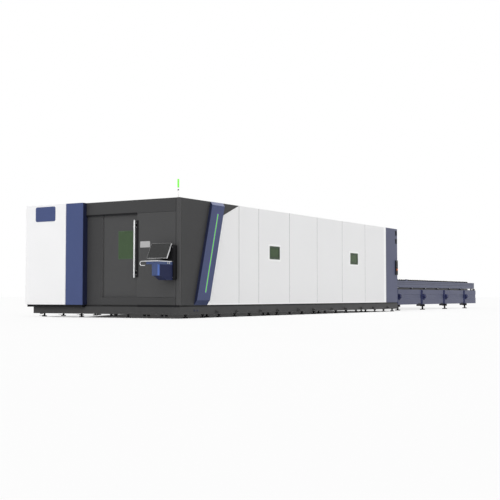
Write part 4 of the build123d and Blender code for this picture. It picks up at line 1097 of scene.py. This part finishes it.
# Black strip along the header's underside: painted shade
block_piece(
    "header_gap_shade",
    (header_low[0] - GAP_SHADE_PROUD, fixed_high[1] + GAP_SHADE_END_GAP, header_low[2] - GAP_SHADE_HALF),
    (header_low[0] + GAP_SHADE_BACK, header_high[1] - GAP_SHADE_END_GAP, header_low[2] + GAP_SHADE_HALF),
    bevel=0.002, material=black_paint,
)

# Console arm: painted shade on the flank and underside, painted highlight on the front edge
ARM_WIDTH = 0.2
ARM_EDGE_CUT = 0.03
ARM_FRONT_X = -10.74
ARM_ROOT_X = -10.261
ARM_ROOT_Z = 0.807
ARM_BENDS = (-10.464, -10.649)
ARM_FRONT_Z = 0.893
ARM_TOP_Z = 1.126
ARM_SKIN = 0.001
ARM_EDGE_SKIN = 0.0007
cut_x = ARM_FRONT_X + ARM_EDGE_CUT
arm_profile = (
    (ARM_ROOT_X, ARM_ROOT_Z), (ARM_BENDS[0], ARM_ROOT_Z), (ARM_BENDS[1], ARM_FRONT_Z), (cut_x, ARM_FRONT_Z),
)
# Navy skins on the arm's right flank and underside: painted shade
arm_shade_skin = bmesh.new()
flank_points = [(x, ARM_FACE_Y, z + ARM_SKIN) for x, z in arm_profile]
flank_points += [(x, ARM_FACE_Y, ARM_TOP_Z) for x in (cut_x, ARM_ROOT_X)]
prism(arm_shade_skin, flank_points, (0, -ARM_SKIN, 0))
for (x0, z0), (x1, z1) in zip(arm_profile, arm_profile[1:]):
    skin = ((x0, z0), (x1, z1), (x1, z1 - ARM_SKIN), (x0, z0 - ARM_SKIN))
    prism(arm_shade_skin, [(x, ARM_FACE_Y, z) for x, z in skin], (0, ARM_WIDTH, 0))
piece("console_arm_shade", arm_shade_skin, arm_shade)
# Bright blue skin on the arm's cut front corner: painted highlight
corner_base = ARM_FRONT_Z + ARM_SKIN
corner_points = [
    (ARM_FRONT_X, ARM_FACE_Y + ARM_EDGE_CUT, corner_base),
    (cut_x, ARM_FACE_Y, corner_base),
    (cut_x, ARM_FACE_Y, ARM_TOP_Z),
    (ARM_FRONT_X, ARM_FACE_Y + ARM_EDGE_CUT, ARM_TOP_Z),
]
prism_piece("console_arm_highlight", corner_points, (-ARM_EDGE_SKIN, -ARM_EDGE_SKIN, 0), 0.0, arm_highlight)

# Tower light: black rings round the lamp and a collar on its pole
POLE_COLLAR_DROP = 0.065
lamp_place = Vector(middle_of("tower_lamp"))
lamp_place.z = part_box("tower_lamp")[0][2]
ribs = bmesh.new()
for rise in (0.0005, 0.055, 0.11):
    place = lamp_place + Vector((0, 0, rise))
    tube_ring(ribs, place, UP, outer=0.0198, inner=0.0185, height=0.004, count=40)
place = lamp_place - Vector((0, 0, POLE_COLLAR_DROP))
tube_ring(ribs, place, UP, outer=0.015, inner=0.0105, height=0.024, count=40)
piece("tower_rings", ribs, black_plastic, smooth=True)

# Cutting head and carriage: collars and bolts
HEAD_FACE = 0.05
nozzle_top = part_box("nozzle")[1][2]
nozzle_place = Vector((middle_of("nozzle")[0], 0, nozzle_top))
collar = bmesh.new()
for rise, radius in ((0.012, 0.045), (0.05, 0.044), (0.09, 0.045)):
    place = nozzle_place + Vector((0, 0, rise))
    tube_ring(collar, place, UP, radius, inner=0.0415, height=0.014, count=48)
piece("head_collars", collar, black_plastic, "cutting_head", True)
head_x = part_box("cutting_head")[0][0] + HEAD_FACE
places = [(head_x, y, nozzle_top + rise) for y in (-0.07, 0.07) for rise in (0.44, 0.5, 0.56)]
bolt_piece("head_bolts", places, TO_REAR, 0.007, 0.008, steel, "cutting_head")
carriage_low, carriage_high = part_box("carriage")
places = []
for y in (-0.13, 0.13):
    places += [(carriage_high[0], y, carriage_low[2] + rise) for rise in (0.03, 0.1, 0.25, 0.32)]
bolt_piece("carriage_bolts", places, TO_REAR, 0.008, 0.009, black_oxide, "carriage")

# Stage: pale floor, soft light and the camera at the photo's place
FLOOR_HALF = 300.0
FLOOR_TONES = ((0.9, 0.9, 0.9, 1.0), (0.92, 0.92, 0.92, 1.0))
FLOOR_GLOW = 0.75
FLOOR_EDGE = 0.12
FOOT_MIDDLE = (-4.34, -0.07)
FOOT_HALF = (5.8, 2.07)
FOOT_SLANT = 0.49
FOOT_LIMIT = 5.5
UNDER_INSET = 0.3
UNDER_GLOW = 0.055
FRONT_SHADOW_MIDDLE = (-9.97, -0.2)
FRONT_SHADOW_HALF = (0.24, 1.9)
WORLD_LIGHT = 0.58
CAMERA_YAW = 31.46
CAMERA_PITCH = 2.69


def falling(tree, value, limit):
    """Mask that falls softly from one to zero where a value passes a limit."""
    inputs = {"Value": value, "From Min": limit + FLOOR_EDGE, "From Max": limit - FLOOR_EDGE}
    return make(tree, "MapRange", "Result", inputs, interpolation_type="SMOOTHSTEP")


def floor_box(tree, middle, half):
    """Mask of a soft-edged rectangle on the floor."""
    masks = []
    for axis, centre, reach in zip("XY", middle, half):
        offset = calc(tree, "SUBTRACT", own_axis(tree, axis), centre)
        masks.append(falling(tree, calc(tree, "ABSOLUTE", offset), reach))
    return calc(tree, "MULTIPLY", *masks)


def floor_masks(tree):
    """Masks of the floor in full shadow under and before the machine, and of its dim middle."""
    slant = calc(tree, "MULTIPLY", own_axis(tree, "X"), FOOT_SLANT)
    near = falling(tree, calc(tree, "SUBTRACT", own_axis(tree, "Y"), slant), FOOT_LIMIT)
    inner_half = [reach - UNDER_INSET for reach in FOOT_HALF]
    shadow = calc(tree, "MULTIPLY", near, floor_box(tree, FOOT_MIDDLE, FOOT_HALF))
    middle = calc(tree, "MULTIPLY", near, floor_box(tree, FOOT_MIDDLE, inner_half))
    front = floor_box(tree, FRONT_SHADOW_MIDDLE, FRONT_SHADOW_HALF)
    return calc(tree, "MAXIMUM", shadow, front), middle


def seen_rays(tree):
    """Mask of the rays that show a background: from the camera, mirrored or through glass."""
    path = tree.nodes.new("ShaderNodeLightPath")
    seen = calc(tree, "MAXIMUM", path.outputs["Is Camera Ray"], path.outputs["Is Glossy Ray"])
    return calc(tree, "MAXIMUM", seen, path.outputs["Is Transmission Ray"])


def stage_floor():
    """Pale floor that keeps the shadow but shows as white where it is open."""
    bm = bmesh.new()
    corners = [(-1, -1), (1, -1), (1, 1), (-1, 1)]
    bm.faces.new([bm.verts.new((FLOOR_HALF * x, FLOOR_HALF * y, 0.0)) for x, y in corners])
    mesh = bpy.data.meshes.new("floor")
    bm.to_mesh(mesh)
    bm.free()
    floor = bpy.data.objects.new("floor", mesh)
    bpy.context.scene.collection.objects.link(floor)
    material, tree, shader = new_material("floor")
    tone = ramp(tree, noise(tree, scale=0.4, detail=3.0), *FLOOR_TONES)
    feed(tree, shader, {"Base Color": tone, "Roughness": 0.8, "Specular IOR Level": 0.0})
    shadow, middle = floor_masks(tree)
    open_floor = calc(tree, "SUBTRACT", 1.0, shadow)
    share = calc(tree, "MULTIPLY", open_floor, FLOOR_GLOW)
    under = calc(tree, "MULTIPLY", middle, UNDER_GLOW)
    share = calc(tree, "MULTIPLY", seen_rays(tree), calc(tree, "ADD", share, under))
    glow = make(tree, "Emission", "Emission", {})
    surface = make(tree, "MixShader", "Shader", {"Fac": share, 1: shader.outputs["BSDF"], 2: glow})
    feed(tree, tree.nodes["Material Output"], {"Surface": surface})
    mesh.materials.append(material)


def sun(name, direction, strength, angle):
    """Soft distant lamp shining along a direction."""
    lamp = bpy.data.lights.new(name, "SUN")
    lamp.energy = strength
    lamp.angle = math.radians(angle)
    holder = bpy.data.objects.new(name, lamp)
    holder.rotation_euler = Vector(direction).to_track_quat("-Z", "Y").to_euler()
    bpy.context.scene.collection.objects.link(holder)


scene = bpy.context.scene
scene.view_settings.view_transform = "Standard"
stage_floor()
world = bpy.data.worlds.new("studio")
world.use_nodes = True
scene.world = world
world_tree = world.node_tree
world_strength = remap(world_tree, seen_rays(world_tree), WORLD_LIGHT, 1.0)
feed(world_tree, world_tree.nodes["Background"], {"Color": (1.0, 1.0, 1.0, 1.0), "Strength": world_strength})
sun("key", (0.85, 0.2, -0.5), strength=1.15, angle=50)
sun("fill", (0.2, 0.8, -0.55), strength=0.25, angle=70)
sun("top", (0.0, 0.1, -1.0), strength=0.6, angle=60)

camera_data = bpy.data.cameras.new("camera")
camera_data.lens = 70.1
camera_data.sensor_width = 36.0
camera_data.sensor_fit = "HORIZONTAL"
camera_data.clip_end = 900.0
camera = bpy.data.objects.new("camera", camera_data)
camera.location = (-26.744, -14.025, 0.48)
camera.rotation_euler = (math.radians(90.0 + CAMERA_PITCH), 0.0, math.radians(CAMERA_YAW - 90.0))
scene.collection.objects.link(camera)
scene.camera = camera
